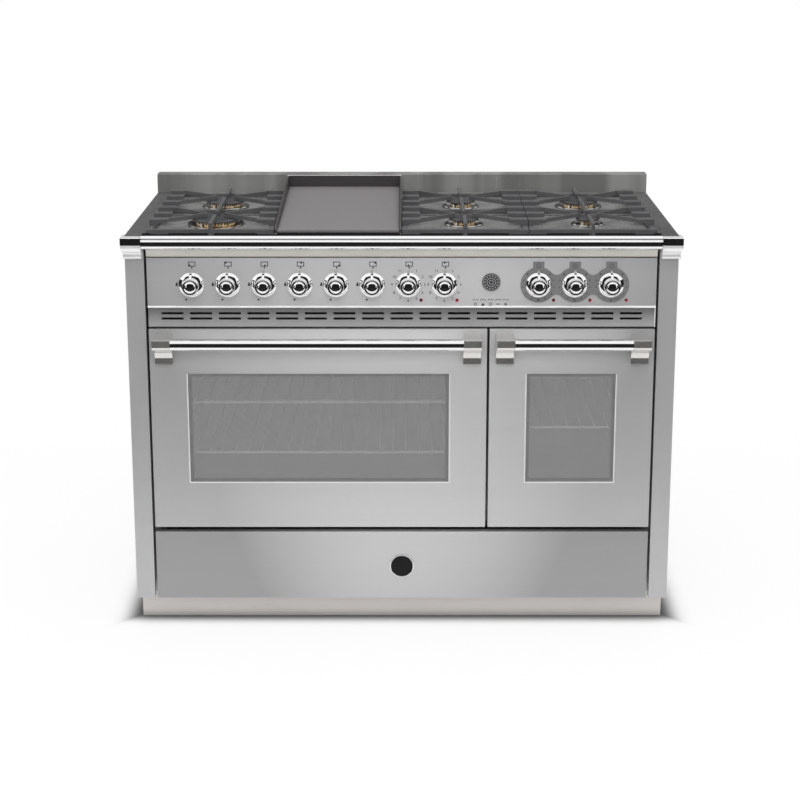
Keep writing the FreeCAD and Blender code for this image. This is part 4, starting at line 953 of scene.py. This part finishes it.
def cornice_outline(trim):
    """Bead over bullnose, in Y and Z."""
    under_bead, fillet, back_rise = 0.0006, 0.0010, 0.0025
    top, foot = CORNICE_HIGH.z, CORNICE_LOW.z
    bead = (FRONT - trim.bead_reach + trim.bead_depth, top)
    brow = (FRONT - trim.bead_reach, top - trim.bead_drop)
    crest = ((bead[0] + brow[0]) / 2 - trim.bead_swell / 2, (bead[1] + brow[1]) / 2 + trim.bead_swell)
    groove = (FRONT - trim.groove_reach, top - trim.bead_height)
    ledge = (groove[0], groove[1] - fillet)
    nose = (FRONT - trim.bullnose_reach, (ledge[1] + foot) / 2)
    outline = [(CORNICE_HIGH.y, top), bead] + bow(bead, crest, brow, 14)
    outline += [(brow[0], groove[1] + under_bead), groove, ledge]
    outline += bow(ledge, nose, (FRONT - trim.bullnose_foot, foot), 28)
    return outline + [(FRONT, foot), (CORNICE_HIGH.y, foot + back_rise)]


def cove_outline(trim):
    """Hollow strip under the cornice, in Y and Z."""
    foot_reach = 0.0015
    start, end = (COVE_LOW.y, COVE_HIGH.z), (FRONT - foot_reach, COVE_LOW.z)
    sag = ((start[0] + end[0]) / 2 + trim.cove_sag, (start[1] + end[1]) / 2)
    return [start] + bow(start, sag, end, 20) + [(COVE_HIGH.y, COVE_LOW.z), (COVE_HIGH.y, COVE_HIGH.z)]


def panel_edge_shape(trim):
    """Lip under the control panel, finished as a painted highlight, with an upright end on the right."""
    reach, bulge, tuck = 0.0016, 0.0012, 0.0005
    end_width, end_depth, end_edge = 0.002, 0.001, 0.0004
    low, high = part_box("vent_strip")
    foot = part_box("control_panel")[0].z - trim.panel_lip * 0.55
    top, face, back = foot + trim.panel_lip, FRONT - reach, low.y + tuck
    outline = [(back, foot), (face + bulge, foot)]
    outline += bow(outline[-1], (face, foot + trim.panel_lip / 2), (face + bulge, top), 10) + [(back, top)]
    end = slab((high.x - end_width, FRONT + end_depth, low.z), (high.x, back, foot))
    return gathered([sideways(outline, (low.x, high.x)), softened(end, end_edge)])


class COOKER_OT_cornice(bpy.types.Operator):
    """Draw the cornice moulding, the cove under it and the panel's lip, painted as a highlight"""

    bl_idname = "cooker.cornice"
    bl_label = "Cornice"

    def execute(self, context):
        trim = settings().trim
        moulding = sideways(cornice_outline(trim), (CORNICE_LOW.x, CORNICE_HIGH.x))
        add_piece(moulding, "cornice_bead_and_bullnose", "chrome", "cooker_body",
                  ("cornice_moulding",))
        cove = sideways(cove_outline(trim), (COVE_LOW.x, COVE_HIGH.x))
        add_piece(cove, "hollow_cove", "cove_satin", "cooker_body", ("cove_strip",))
        add_piece(panel_edge_shape(trim), "panel_edge", "bright_edge", "cooker_body")
        return {"FINISHED"}


def bracket_shape(low, high, trim):
    """Handle bracket in its box: dished top, upright nose, round underside, coved neck, stepped foot."""
    top, foot, nose, door = high.z, low.z, low.y, high.y
    edge = trim.bracket_edge
    cheek_reach, cheek_drop, hollow_reach, hollow_rise = 0.27, 0.7, 0.42, 0.62
    rounding, sharp = 0.0005, radians(50)
    under = (nose + trim.bracket_lip, top - trim.bracket_head)
    chin = (nose, top - trim.bracket_nose)
    cheek = (nose + trim.bracket_lip * cheek_reach, chin[1] - (chin[1] - under[1]) * cheek_drop)
    shoulder = door - trim.bracket_cove
    neck = (shoulder, foot + trim.bracket_step)
    hollow = (shoulder - trim.bracket_cove * hollow_reach, neck[1] + (under[1] - neck[1]) * hollow_rise)
    dish = ((door + nose) / 2, top - trim.bracket_dish)
    outline = [(door, top)] + bow((door, top), dish, (nose + edge, top - edge / 2), 14)
    outline += [(nose, top - 1.5 * edge), chin] + bow(chin, cheek, under, 12)
    outline += [(under[0] + edge, under[1])]
    outline += bow(outline[-1], hollow, neck, 12)
    outline += [(shoulder, foot + 2 * edge), (door - trim.bracket_step, foot + edge),
                (door - trim.bracket_step, foot), (door, foot)]
    return softened(sideways(outline, (low.x, high.x)), rounding, 2, sharp)


class COOKER_OT_handles(bpy.types.Operator):
    """Make the handle bars and their cast brackets"""

    bl_idname = "cooker.handles"
    bl_label = "Handles"

    def execute(self, context):
        trim = settings().trim
        for door in ("main", "side"):
            low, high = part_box(door + "_handle_bar")
            centre = (low + high) / 2
            half = (high.x - low.x) / 2
            radius = trim.bar_radius
            edge, step = 0.0006, 0.0004
            inner, ring = radius - step, half - trim.collar_length - edge
            profile = [(0.0, -half), (radius - edge, -half), (radius, edge - half), (radius, -ring),
                       (inner, -ring), (inner, ring), (radius, ring), (radius, half - edge),
                       (radius - edge, half), (0.0, half)]
            turn = Matrix.Translation(centre) @ Matrix.Rotation(radians(90), 4, "Y")
            add_piece(placed(lathe(profile), turn), door + "_bar_with_collars", "chrome", door + "_door",
                      (door + "_handle_bar",))
            node = door + "_handle_brackets"
            brackets = gathered([bracket_shape(*corners, trim) for corners in islands(node)])
            add_piece(brackets, door + "_cast_brackets", "handle_steel", door + "_door",
                      (node,))
        return {"FINISHED"}


def bowl_shape(radius, height):
    """Pressed bowl with a rolled rim round a flat floor."""
    foot, floor, rim, edge = 0.0012, 0.0022, 0.005, 0.0006
    profile = [(0.0, 0.0), (radius, 0.0), (radius, foot)]
    profile += bow(profile[-1], (radius - 0.002, height - edge), (radius - rim, height), 6)
    profile += bow(profile[-1], (radius * 0.86, height * 0.72), (radius * 0.78, floor), 6)
    return lathe(profile + [(0.0, floor)])


def rim_shape(radius, height):
    """Thin brass ring on the rim of a large bowl."""
    inner, outer = radius - 0.0052, radius - 0.0012
    return washer([(inner, height - 0.0004), (outer, height - 0.0006), (outer, height), (inner, height)])


def crown_shape(radius, height):
    """Brass ring whose top edge is cut into ports."""
    large, tooth_edge = 0.03, 0.0004
    teeth = 40 if radius > large else 24
    inner, half = radius * 0.7, pi * radius / teeth * 1.15 / 2
    parts = [washer([(radius, 0.0), (radius, height * 0.45), (inner, height * 0.45), (inner, 0.0)])]
    for index in range(teeth):
        tooth = softened(slab((inner, -half, height * 0.4), (radius, half, height)), tooth_edge, 1)
        parts.append(placed(tooth, Matrix.Rotation(2 * pi * index / teeth, 4, "Z")))
    return gathered(parts)


def cap_shape(radius, height):
    """Cap with a rolled edge and a faint dish on top."""
    undercut, roll, edge, dish = 0.0012, 0.0022, 0.0006, 0.0009
    profile = [(0.0, 0.0), (radius - undercut, 0.0)]
    profile += bow(profile[-1], (radius, height * 0.45), (radius - roll, height - edge), 8)
    profile += bow(profile[-1], (radius * 0.72, height - 0.0002), (radius * 0.6, height - dish), 6)
    return lathe(profile + [(0.0, height - dish)])


def electrode_shape(radius, height):
    """Ceramic electrode with a thin tip."""
    profile = [(0.0, 0.0), (radius * 0.9, 0.0), (radius * 0.9, height * 0.6), (radius * 0.5, height * 0.75),
               (radius * 0.2, height * 0.76), (radius * 0.2, height * 0.98), (0.0, height)]
    return lathe(profile, 16)


# CAD node, new piece, finish and slot, shape, least radius, whether it replaces the node
BURNER_PIECES = (
    ("burner_bowls", "pressed_bowls", "bowl_metal", bowl_shape, 0.0, True),
    ("burner_bowls", "bowl_rims", "brass", rim_shape, 0.06, False),
    ("burner_crowns", "ported_crowns", "brass", crown_shape, 0.0, True),
    ("burner_caps", "enamelled_caps", "cap_enamel", cap_shape, 0.0, True),
    ("spark_electrodes", "ceramic_electrodes", "ceramic", electrode_shape, 0.0, True),
)


class COOKER_OT_burners(bpy.types.Operator):
    """Make the burners: bowls, brass crowns, caps and spark electrodes"""

    bl_idname = "cooker.burners"
    bl_label = "Burners"

    def execute(self, context):
        for node, name, finish, shape_of, least, whole in BURNER_PIECES:
            shapes = []
            for foot, radius, height in (upright(*box) for box in islands(node)):
                if radius > least:
                    shapes.append(placed(shape_of(radius, height), foot))
            add_piece(gathered(shapes), name, finish, "cooker_body", (node,) if whole else ())
        return {"FINISHED"}


class COOKER_OT_racks(bpy.types.Operator):
    """Weld the oven racks from round wire"""

    bl_idname = "cooker.racks"
    bl_label = "Racks"

    def execute(self, context):
        trim = settings().trim
        thick, thin = trim.rack_wire, trim.rack_bar
        for node in ("main_oven_shelf_upper", "main_oven_shelf_lower", "side_oven_shelf"):
            low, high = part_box(node)
            z = (low.z + high.z) / 2
            left, right = low.x + thick, high.x - thick
            near, far = low.y + thick, high.y - thick
            corners = [(left, near, z), (right, near, z), (right, far, z), (left, far, z)]
            parts = [wire(a, b, thick) for a, b in zip(corners, corners[1:] + corners[:1])]
            parts += [ball(corner, thick, 2) for corner in corners]
            bars = round((right - left) / trim.rack_pitch)
            for index in range(1, bars):
                x = left + (right - left) * index / bars
                parts.append(wire((x, near, z), (x, far, z), thin, 8))
                parts.append(ball((x, near, z + thin / 2), thick, 1))
            add_piece(gathered(parts), "welded_" + node, "rack_wire", "cooker_body", (node,))
        return {"FINISHED"}


def window_of(door):
    """Opening in a door's steel skin: its inner edges on the front face."""
    level = 1e-4
    low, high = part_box(door + "_door_panel")
    inset = settings().trim.window_border
    places = [vert.co for vert in frame["nodes"][door + "_door_panel"].data.vertices]
    front = [place for place in places if abs(place.y - low.y) < level]
    return box_of([place for place in front if low.x + inset < place.x < high.x - inset
                   and low.z + inset < place.z < high.z - inset])


def text_shape(words, height):
    """Flat letters centred on the origin, in X and Y."""
    curve = bpy.data.curves.new("words", "FONT")
    curve.body = words
    curve.size = height * 1.4
    curve.align_x = "CENTER"
    curve.align_y = "CENTER"
    carrier = put("words", curve)
    bpy.context.view_layer.update()
    mesh = bpy.data.meshes.new_from_object(carrier.evaluated_get(bpy.context.evaluated_depsgraph_get()))
    shape = bmesh.new()
    shape.from_mesh(mesh)
    bpy.data.objects.remove(carrier)
    bpy.data.meshes.remove(mesh)
    bpy.data.curves.remove(curve)
    return raised(shape, settings().marks.thickness)


def border(width, height, line, thickness):
    """Four strips round a printed sign, given half its width and height."""
    return [slab((-width, height - line, 0), (width, height, thickness)),
            slab((-width, -height, 0), (width, line - height, thickness)),
            slab((-width, line - height, 0), (line - width, height - line, thickness)),
            slab((width - line, line - height, 0), (width, height - line, thickness))]


def burner_mark(marks, dot_at):
    """Outline of the hob with a dot for the burner, and a round pointer on a stem below it."""
    side_margin, end_margin = 0.003, 0.0025
    w, h, deep = marks.icon_width / 2, marks.icon_height / 2, marks.thickness
    parts = border(w, h, marks.line, deep)
    parts.append(disc(marks.dot, deep, (dot_at[0] * (w - side_margin), dot_at[1] * (h - end_margin))))
    stem = marks.line / 3
    parts.append(slab((-stem, -h - 1.2 * marks.pointer, 0), (stem, -h, deep)))
    parts.append(disc(marks.pointer, deep, (0, -h - 1.6 * marks.pointer)))
    return gathered(parts)


# Where each knob's burner stands on the hob, from -1 to 1
BURNER_DOTS = {
    "gas_knob_1": (-1, -1), "gas_knob_2": (-1, 1), "griddle_knob_1": (-0.3, -1), "griddle_knob_2": (-0.3, 1),
    "gas_knob_3": (0.3, -1), "gas_knob_4": (0.3, 1), "gas_knob_5": (1, -1), "gas_knob_6": (1, 1),
}


class COOKER_OT_windows(bpy.types.Operator):
    """Edge the oven windows with a thin strip of painted highlight"""

    bl_idname = "cooker.windows"
    bl_label = "Window edges"

    def execute(self, context):
        trim = settings().trim
        width, proud = trim.window_edge, trim.window_proud
        for door in ("main", "side"):
            low, high = window_of(door)
            y = FRONT - proud, FRONT + proud
            parts = [slab((low.x - width, y[0], low.z - width), (low.x, y[1], high.z)),
                     slab((high.x, y[0], low.z - width), (high.x + width, y[1], high.z)),
                     slab((low.x, y[0], low.z - width), (high.x, y[1], low.z))]
            add_piece(gathered([softened(part, proud / 2, 1) for part in parts]), door + "_window_edge",
                      "bright_edge", door + "_door")
        return {"FINISHED"}


class COOKER_OT_marks(bpy.types.Operator):
    """Print the generic marks on the control panel"""

    bl_idname = "cooker.marks"
    bl_label = "Panel marks"

    def execute(self, context):
        icon_aside, flame_aside, flame_rise, dot_aside, dot_drop = 0.002, 0.032, 0.002, 0.012, 0.033
        marks = settings().marks
        deep, size = marks.thickness, marks.flame / 2
        flame = [(-size * 0.6, -size), (size * 0.6, -size), (size * 0.45, size * 0.1), (0, size),
                 (-size * 0.45, size * 0.1)]
        parts = []
        for node in GAS_KNOBS + GRIDDLE_KNOBS:
            x, z = knob_axis(node)
            place = on_panel(x + icon_aside, z + marks.icon_rise)
            parts.append(placed(burner_mark(marks, BURNER_DOTS[node]), place))
        for node in GAS_KNOBS:
            x, z = knob_axis(node)
            parts.append(placed(prism(flame, deep), on_panel(x - flame_aside, z + flame_rise)))
            parts.append(placed(disc(marks.dot * 1.1, deep), on_panel(x - dot_aside, z - dot_drop)))
        for node in GRIDDLE_KNOBS:
            for number in range(1, 12):
                place = around(*knob_axis(node), marks.scale_radius, 90 - 30 * number)
                parts.append(placed(text_shape(str(number), marks.digit), place))
        add_piece(gathered(parts), "panel_marks", "print", "cooker_body")
        return {"FINISHED"}


def flat_ring(inner, outer, thickness, steps):
    """Thin printed ring."""
    return washer([(inner, 0), (outer, 0), (outer, thickness), (inner, thickness)], steps)


def touch_symbol(index, thickness):
    """Ring, triangle, ring, minus or plus, by its place in the row."""
    size, line, ring = 0.0037, 0.0008, 0.0012
    if index in (0, 2):
        return flat_ring(size - ring, size, thickness, 24)
    if index == 1:
        return prism([(-size, -size), (size, -size), (0, size)], thickness)
    minus = slab((-size, -line, 0), (size, line, thickness))
    if index == 3:
        return minus
    return gathered([minus, slab((-line, -size, 0), (line, size, thickness))])


def touch_bracket(thickness):
    """Bracket over a touch symbol."""
    half, line, drop = 0.0057, 0.0010, 0.0022
    return gathered([slab((-half, 0, 0), (line - half, drop, thickness)),
                     slab((half - line, 0, 0), (half, drop, thickness)),
                     slab((-half, drop, 0), (half, drop + line, thickness))])


class COOKER_OT_timer(bpy.types.Operator):
    """Make the round timer, its ring of marks and the touch symbols under it"""

    bl_idname = "cooker.timer"
    bl_label = "Timer"

    def execute(self, context):
        deep = settings().marks.thickness
        low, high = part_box("timer_dial")
        x, z, radius = across(low, high)
        height = FRONT - low.y
        stem, stem_depth, sink = radius * 0.7, 0.004, 0.0006
        profile = [(0.0, -stem_depth), (stem, -stem_depth), (stem, 0.0), (radius, 0.0),
                   (radius, height * 0.5)]
        profile += bow(profile[-1], (radius - 0.0005, height * 0.88), (radius - 0.0015, height - 0.0002), 6)
        profile += [(radius - 0.0022, height - sink), (0.0, height - sink)]
        add_piece(placed(lathe(profile), on_panel(x, z)), "timer_face", "timer_black", "cooker_body",
                  ("timer_dial",))
        face = FRONT - height + sink
        dots, dot, circle = 14, 0.0013, 0.0140
        rings = ((0.0088, 0.0098), (0.0040, 0.0050), (0.0172, 0.0180))
        turns = [360 * index / dots for index in range(dots)]
        parts = [placed(disc(dot, deep), around(x, z, circle, turn, face)) for turn in turns]
        parts += [placed(flat_ring(inner, outer, deep, 48), on_panel(x, z, face)) for inner, outer in rings]
        add_piece(gathered(parts), "timer_marks", "pale_print", "cooker_body")
        symbols, first, pitch, symbol_drop, bracket_drop = 5, -0.034, 0.0165, 0.049, 0.0415
        parts = []
        for index in range(symbols):
            place = x + first + pitch * index
            parts.append(placed(touch_symbol(index, deep), on_panel(place, z - symbol_drop)))
            parts.append(placed(touch_bracket(deep), on_panel(place, z - bracket_drop)))
        add_piece(gathered(parts), "touch_marks", "print", "cooker_body")
        return {"FINISHED"}


def plate_outline(centres, radius, fillet, tab):
    """Row of discs joined by hollow curves, each with a tab on top, round the given X places at Z = 0."""
    half = (centres[1] - centres[0]) / 2
    rise = (((radius + fillet) ** 2) - half * half) ** 0.5
    waist = degrees(atan2(rise, half))
    tab_width, tab_top = tab
    root = degrees(atan2((radius * radius - tab_width * tab_width) ** 0.5, tab_width))
    last = len(centres) - 1
    disc_size, gap_size = (radius, radius), (fillet, fillet)
    points = []
    for index, x in enumerate(centres):
        points += oval((x, 0.0), disc_size, 180 - waist if index else 180, 180 - root, 8)
        points += [(x - tab_width, tab_top), (x + tab_width, tab_top)]
        points += oval((x, 0.0), disc_size, root, waist if index < last else 0, 8)
        if index < last:
            points += oval((x + half, rise), gap_size, waist - 180, -waist, 8)[1:-1]
    for index, x in reversed(list(enumerate(centres))):
        arc = oval((x, 0.0), disc_size, -waist if index < last else 0, waist - 180 if index else -180, 16)
        points += arc if index < last else arc[1:]
        if index:
            points += oval((x - half, -rise), gap_size, waist, 180 - waist, 8)[1:-1]
    return points[:-1]


class COOKER_OT_dial_marks(bpy.types.Operator):
    """Cut the grey plate behind the oven knobs, and print its scales"""

    bl_idname = "cooker.dial_marks"
    bl_label = "Dial marks"

    def execute(self, context):
        marks = settings().marks
        deep = marks.thickness
        low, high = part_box("oven_dial_plate")
        face, axis = low.y, knob_axis(OVEN_KNOBS[0])[1]
        centres = [knob_axis(node)[0] for node in OVEN_KNOBS]
        outline = plate_outline(centres, axis - low.z, marks.plate_fillet, (marks.plate_tab, high.z - axis))
        plate = placed(prism(outline, FRONT - face), on_panel(0.0, axis))
        add_piece(plate, "waisted_plate", "black_plate", "cooker_body", ("oven_dial_plate",))
        circle, step, small, large = 0.0340, 27, 0.0013, 0.0019
        sign, sign_line, sign_rise, dash, dash_line = 0.0045, 0.0008, 0.0425, 0.0022, 0.0006
        parts = []
        for node in OVEN_KNOBS:
            x, z = knob_axis(node)
            for index in range(-5, 6):
                size = small if index % 5 else large
                parts.append(placed(disc(size, deep), around(x, z, circle, step * index - 90, face)))
            strips = border(sign, sign, sign_line, deep)
            strips.append(slab((-dash, -dash_line, 0), (dash, dash_line, deep)))
            parts.append(placed(gathered(strips), on_panel(x, z + sign_rise, face)))
        add_piece(gathered(parts), "dial_marks", "print", "cooker_body")
        return {"FINISHED"}


UNLIT_LAMPS = (0, 2)


class COOKER_OT_lamps(bpy.types.Operator):
    """Make the domed indicator lamps; the lit lenses' brighter red is a painted glow"""

    bl_idname = "cooker.lamps"
    bl_label = "Lamps"

    def execute(self, context):
        groups = {"lamp_off": [], "lamp_red": []}
        for index, (low, high) in enumerate(islands("indicator_lamps")):
            x, z, radius = across(low, high)
            height = FRONT - low.y
            profile = [(0.0, 0.0), (radius, 0.0), (radius, height * 0.3)]
            profile += oval((0.0, height * 0.3), (radius * 0.93, height * 0.7), 0, 84, 8) + [(0.0, height)]
            key = "lamp_off" if index in UNLIT_LAMPS else "lamp_red"
            groups[key].append(placed(lathe(profile, 32), on_panel(x, z)))
        add_piece(gathered(groups["lamp_red"]), "lit_lenses", "lamp_red", "cooker_body",
                  ("indicator_lamps",))
        add_piece(gathered(groups["lamp_off"]), "unlit_lenses", "lamp_off", "cooker_body")
        return {"FINISHED"}


class COOKER_OT_badge(bpy.types.Operator):
    """Make the bare round badge and its bright rim"""

    bl_idname = "cooker.badge"
    bl_label = "Badge"

    def execute(self, context):
        low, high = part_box("drawer_badge")
        x, z, radius = across(low, high)
        height = FRONT - low.y
        inner, overlap = radius - 0.0028, 0.0001
        rim = [(inner, 0.0), (radius, 0.0), (radius, height * 0.4)]
        rim += bow(rim[-1], (radius - 0.0009, height * 0.95), (radius - 0.0022, height * 0.8), 8)
        rim += [(inner, height * 0.5)]
        face = [(0.0, 0.0), (inner + overlap, 0.0), (inner + overlap, height * 0.55)]
        face += bow(face[-1], (radius * 0.5, height * 0.82), (0.0, height * 0.9), 12)
        add_piece(placed(lathe(face), on_panel(x, z)), "badge_face", "black_gloss", "drawer",
                  ("drawer_badge",))
        add_piece(placed(washer(rim), on_panel(x, z)), "badge_rim", "chrome", "drawer")
        return {"FINISHED"}


def screw(radius=0.0038, height=0.0016):
    """Pan-head screw standing on Z = 0."""
    head = [(0.0, 0.0), (radius, 0.0), (radius, height * 0.35)]
    head += oval((0.0, height * 0.35), (radius * 0.96, height * 0.65), 0, 80, 6) + [(0.0, height)]
    return lathe(head, 24)


class COOKER_OT_fixings(bpy.types.Operator):
    """Screw the back panel down"""

    bl_idname = "cooker.fixings"
    bl_label = "Fixings"

    def execute(self, context):
        low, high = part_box("back_panel")
        backward = Matrix.Rotation(radians(-90), 4, "X")
        margin, columns, rows = 0.012, 6, 4
        parts = []
        for i in range(columns):
            for j in range(rows):
                if i in (0, columns - 1) or j in (0, rows - 1):
                    x = low.x + margin + (high.x - low.x - 2 * margin) * i / (columns - 1)
                    z = low.z + margin + (high.z - low.z - 2 * margin) * j / (rows - 1)
                    parts.append(placed(screw(), Matrix.Translation((x, high.y, z)) @ backward))
        add_piece(gathered(parts), "back_screws", "zinc", "cooker_body")
        return {"FINISHED"}


# Studio

# Cards that only show in reflections: name, lowest and highest corner
CARDS = (
    ("front_curtain", (-4.5, -5.3, 0.0), (4.5, -5.25, 4.6)),
    ("floor_cloth", (-4.5, -5.25, 0.002), (4.5, -1.1, 0.004)),
    ("left_curtain", (-4.65, -4.0, 0.0), (-4.6, 3.4, 1.9)),
    ("left_cloth", (-4.55, -1.05, 0.002), (-2.6, 3.4, 0.004)),
    ("right_curtain", (4.6, -4.0, 0.0), (4.65, 3.4, 1.9)),
    ("right_cloth", (2.6, -1.05, 0.002), (4.55, 3.4, 0.004)),
    ("back_curtain", (-4.5, 3.6, 1.25), (4.5, 3.65, 3.2)),
)

# Lamps: name, place, target, size, setting of the power
LAMPS = (
    ("top", (0.0, -0.4, 3.0), (0.0, -0.2, 0.0), (3.2, 2.4), "top_power"),
    ("front", (0.0, -3.6, 2.6), (0.0, 0.0, 0.4), (2.4, 1.4), "front_power"),
    ("side", (-3.2, -0.6, 1.6), (0.0, 0.0, 0.5), (1.6, 1.8), "side_power"),
    ("side", (3.2, -0.6, 1.6), (0.0, 0.0, 0.5), (1.6, 1.8), "side_power"),
    ("back", (0.0, 3.2, 2.2), (0.0, 0.0, 0.5), (2.6, 1.4), "back_power"),
)
FLOOR_SIZE = 12.0


def area_lamp(name, place, target, size, watts):
    """Soft rectangular lamp that neither the camera nor a reflection shows."""
    lamp = put(name, bpy.data.lights.new(name, "AREA"))
    lamp.data.shape = "RECTANGLE"
    lamp.data.size, lamp.data.size_y = size
    lamp.data.energy = watts
    lamp.location = place
    lamp.rotation_euler = (Vector(target) - Vector(place)).to_track_quat("-Z", "Y").to_euler()
    lamp.visible_camera = False
    lamp.visible_glossy = False


def floor_finish(studio, tone):
    """Pale floor that looks white, keeps the cooker's shadow, and has a painted shadow along the foot of the
    plinth.
    """
    inside, band_share, far_start, far_end = -0.01, 0.7, 0.1, 1.2
    finish = Finish("Studio floor", {"Roughness": 0.8, "Specular IOR Level": 0.1})
    glow = finish.node("ShaderNodeEmission", inputs={"Color": PLAIN, "Strength": 1.0})
    front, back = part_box("plinth")[0].y, cad_box[1].y
    aside = finish.maths("ABSOLUTE", finish.along("X")) - cad_box[1].x
    ahead = finish.maths("ABSOLUTE", finish.along("Y") - (front + back) / 2) - (back - front) / 2
    gap = finish.maths("MAXIMUM", aside, ahead)
    # Painted shadow: the floor's colour falls to a share of itself in a band along the cooker's foot.
    band = finish.smooth(gap, inside, studio.contact * band_share)
    finish.feed("Base Color", finish.blend(band, shade(tone, studio.contact_depth), tone))
    near = finish.smooth(gap, 0.0, studio.contact, 0.0, studio.floor_glow)
    far = finish.smooth(gap, far_start, far_end, 0.0, 1.0 - studio.floor_glow)
    plain = Signal(finish, finish.shader.outputs[0])
    mixed = finish.node("ShaderNodeMixShader", inputs={0: finish.seen() * (far + near), 1: plain, 2: glow})
    finish.join(finish.output.inputs[0], mixed)
    return finish.material


def staged(shape, name, material):
    """Object of the studio, which is no piece of the cooker."""
    item = put(name, mesh_of(shape, name))
    item.data.materials.append(material)
    return item


def card(name, low, high, tone):
    """Plain matt card that only shows in reflections."""
    finish = Finish(name, {"Roughness": 1.0, "Specular IOR Level": 0.0})
    finish.feed("Base Color", (tone, tone, tone))
    item = staged(slab(low, high), name, finish.material)
    item.visible_camera = False
    item.visible_diffuse = False
    item.visible_shadow = False


def sky(studio):
    """White surroundings for what is seen, and plain ambient light."""
    world = bpy.data.worlds.new("Studio")
    world.use_nodes = True
    nodes = Nodes(world.node_tree)
    lit = nodes.node("ShaderNodeBackground", inputs={"Color": PLAIN, "Strength": studio.ambient})
    white = nodes.node("ShaderNodeBackground", inputs={"Color": PLAIN})
    mixed = nodes.node("ShaderNodeMixShader", inputs={0: nodes.seen(), 1: lit, 2: white})
    nodes.join(nodes.tree.nodes.new("ShaderNodeOutputWorld").inputs[0], mixed)
    return world


class COOKER_OT_stage(bpy.types.Operator):
    """Set up the floor, the lamps and the camera"""

    bl_idname = "cooker.stage"
    bl_label = "Studio"

    def execute(self, context):
        scene = context.scene
        studio = settings().studio
        scene.view_settings.view_transform = "Standard"
        scene.world = sky(studio)
        shape = bmesh.new()
        bmesh.ops.create_grid(shape, x_segments=1, y_segments=1, size=FLOOR_SIZE)
        staged(shape, "floor", floor_finish(studio, settings().colours.floor))
        for name, low, high in CARDS:
            card(name, low, high, studio.curtain_grey)
        for name, place, target, size, power_name in LAMPS:
            area_lamp(name, place, target, size, getattr(studio, power_name))
        camera = put("camera", bpy.data.cameras.new("camera"))
        camera.location = studio.camera_place
        camera.rotation_euler = (radians(90) - studio.camera_pitch, 0.0, 0.0)
        camera.data.lens = studio.lens
        camera.data.shift_x, camera.data.shift_y = studio.shift_x, studio.shift_y
        scene.camera = camera
        return {"FINISHED"}


OPERATORS = (
    COOKER_OT_finishes, COOKER_OT_knobs, COOKER_OT_cornice, COOKER_OT_capitals, COOKER_OT_handles,
    COOKER_OT_burners, COOKER_OT_racks, COOKER_OT_windows, COOKER_OT_marks, COOKER_OT_timer,
    COOKER_OT_dial_marks, COOKER_OT_lamps, COOKER_OT_badge, COOKER_OT_fixings, COOKER_OT_stage,
)


class COOKER_PT_sidebar(bpy.types.Panel):
    """Lists the cooker's pieces"""

    bl_label = "Range cooker"
    bl_idname = "COOKER_PT_sidebar"
    bl_space_type = "VIEW_3D"
    bl_region_type = "UI"
    bl_category = "Cooker"

    def draw(self, context):
        for operator in OPERATORS:
            self.layout.operator(operator.bl_idname)


CLASSES = (CookerColours, KnobSizes, TrimSizes, CapitalSizes, MarkSizes, StudioSettings, CookerSettings,
           *OPERATORS, COOKER_PT_sidebar)


def register():
    """Adds the classes and the scene's settings."""
    for cls in CLASSES:
        bpy.utils.register_class(cls)
    bpy.types.Scene.cooker = PointerProperty(type=CookerSettings)


def unregister():
    """Removes them again."""
    del bpy.types.Scene.cooker
    for cls in reversed(CLASSES):
        bpy.utils.unregister_class(cls)


def main():
    """Makes every piece."""
    register()
    for operator in OPERATORS:
        group, name = operator.bl_idname.split(".")
        getattr(getattr(bpy.ops, group), name)()


if __name__ == "__main__":
    main()
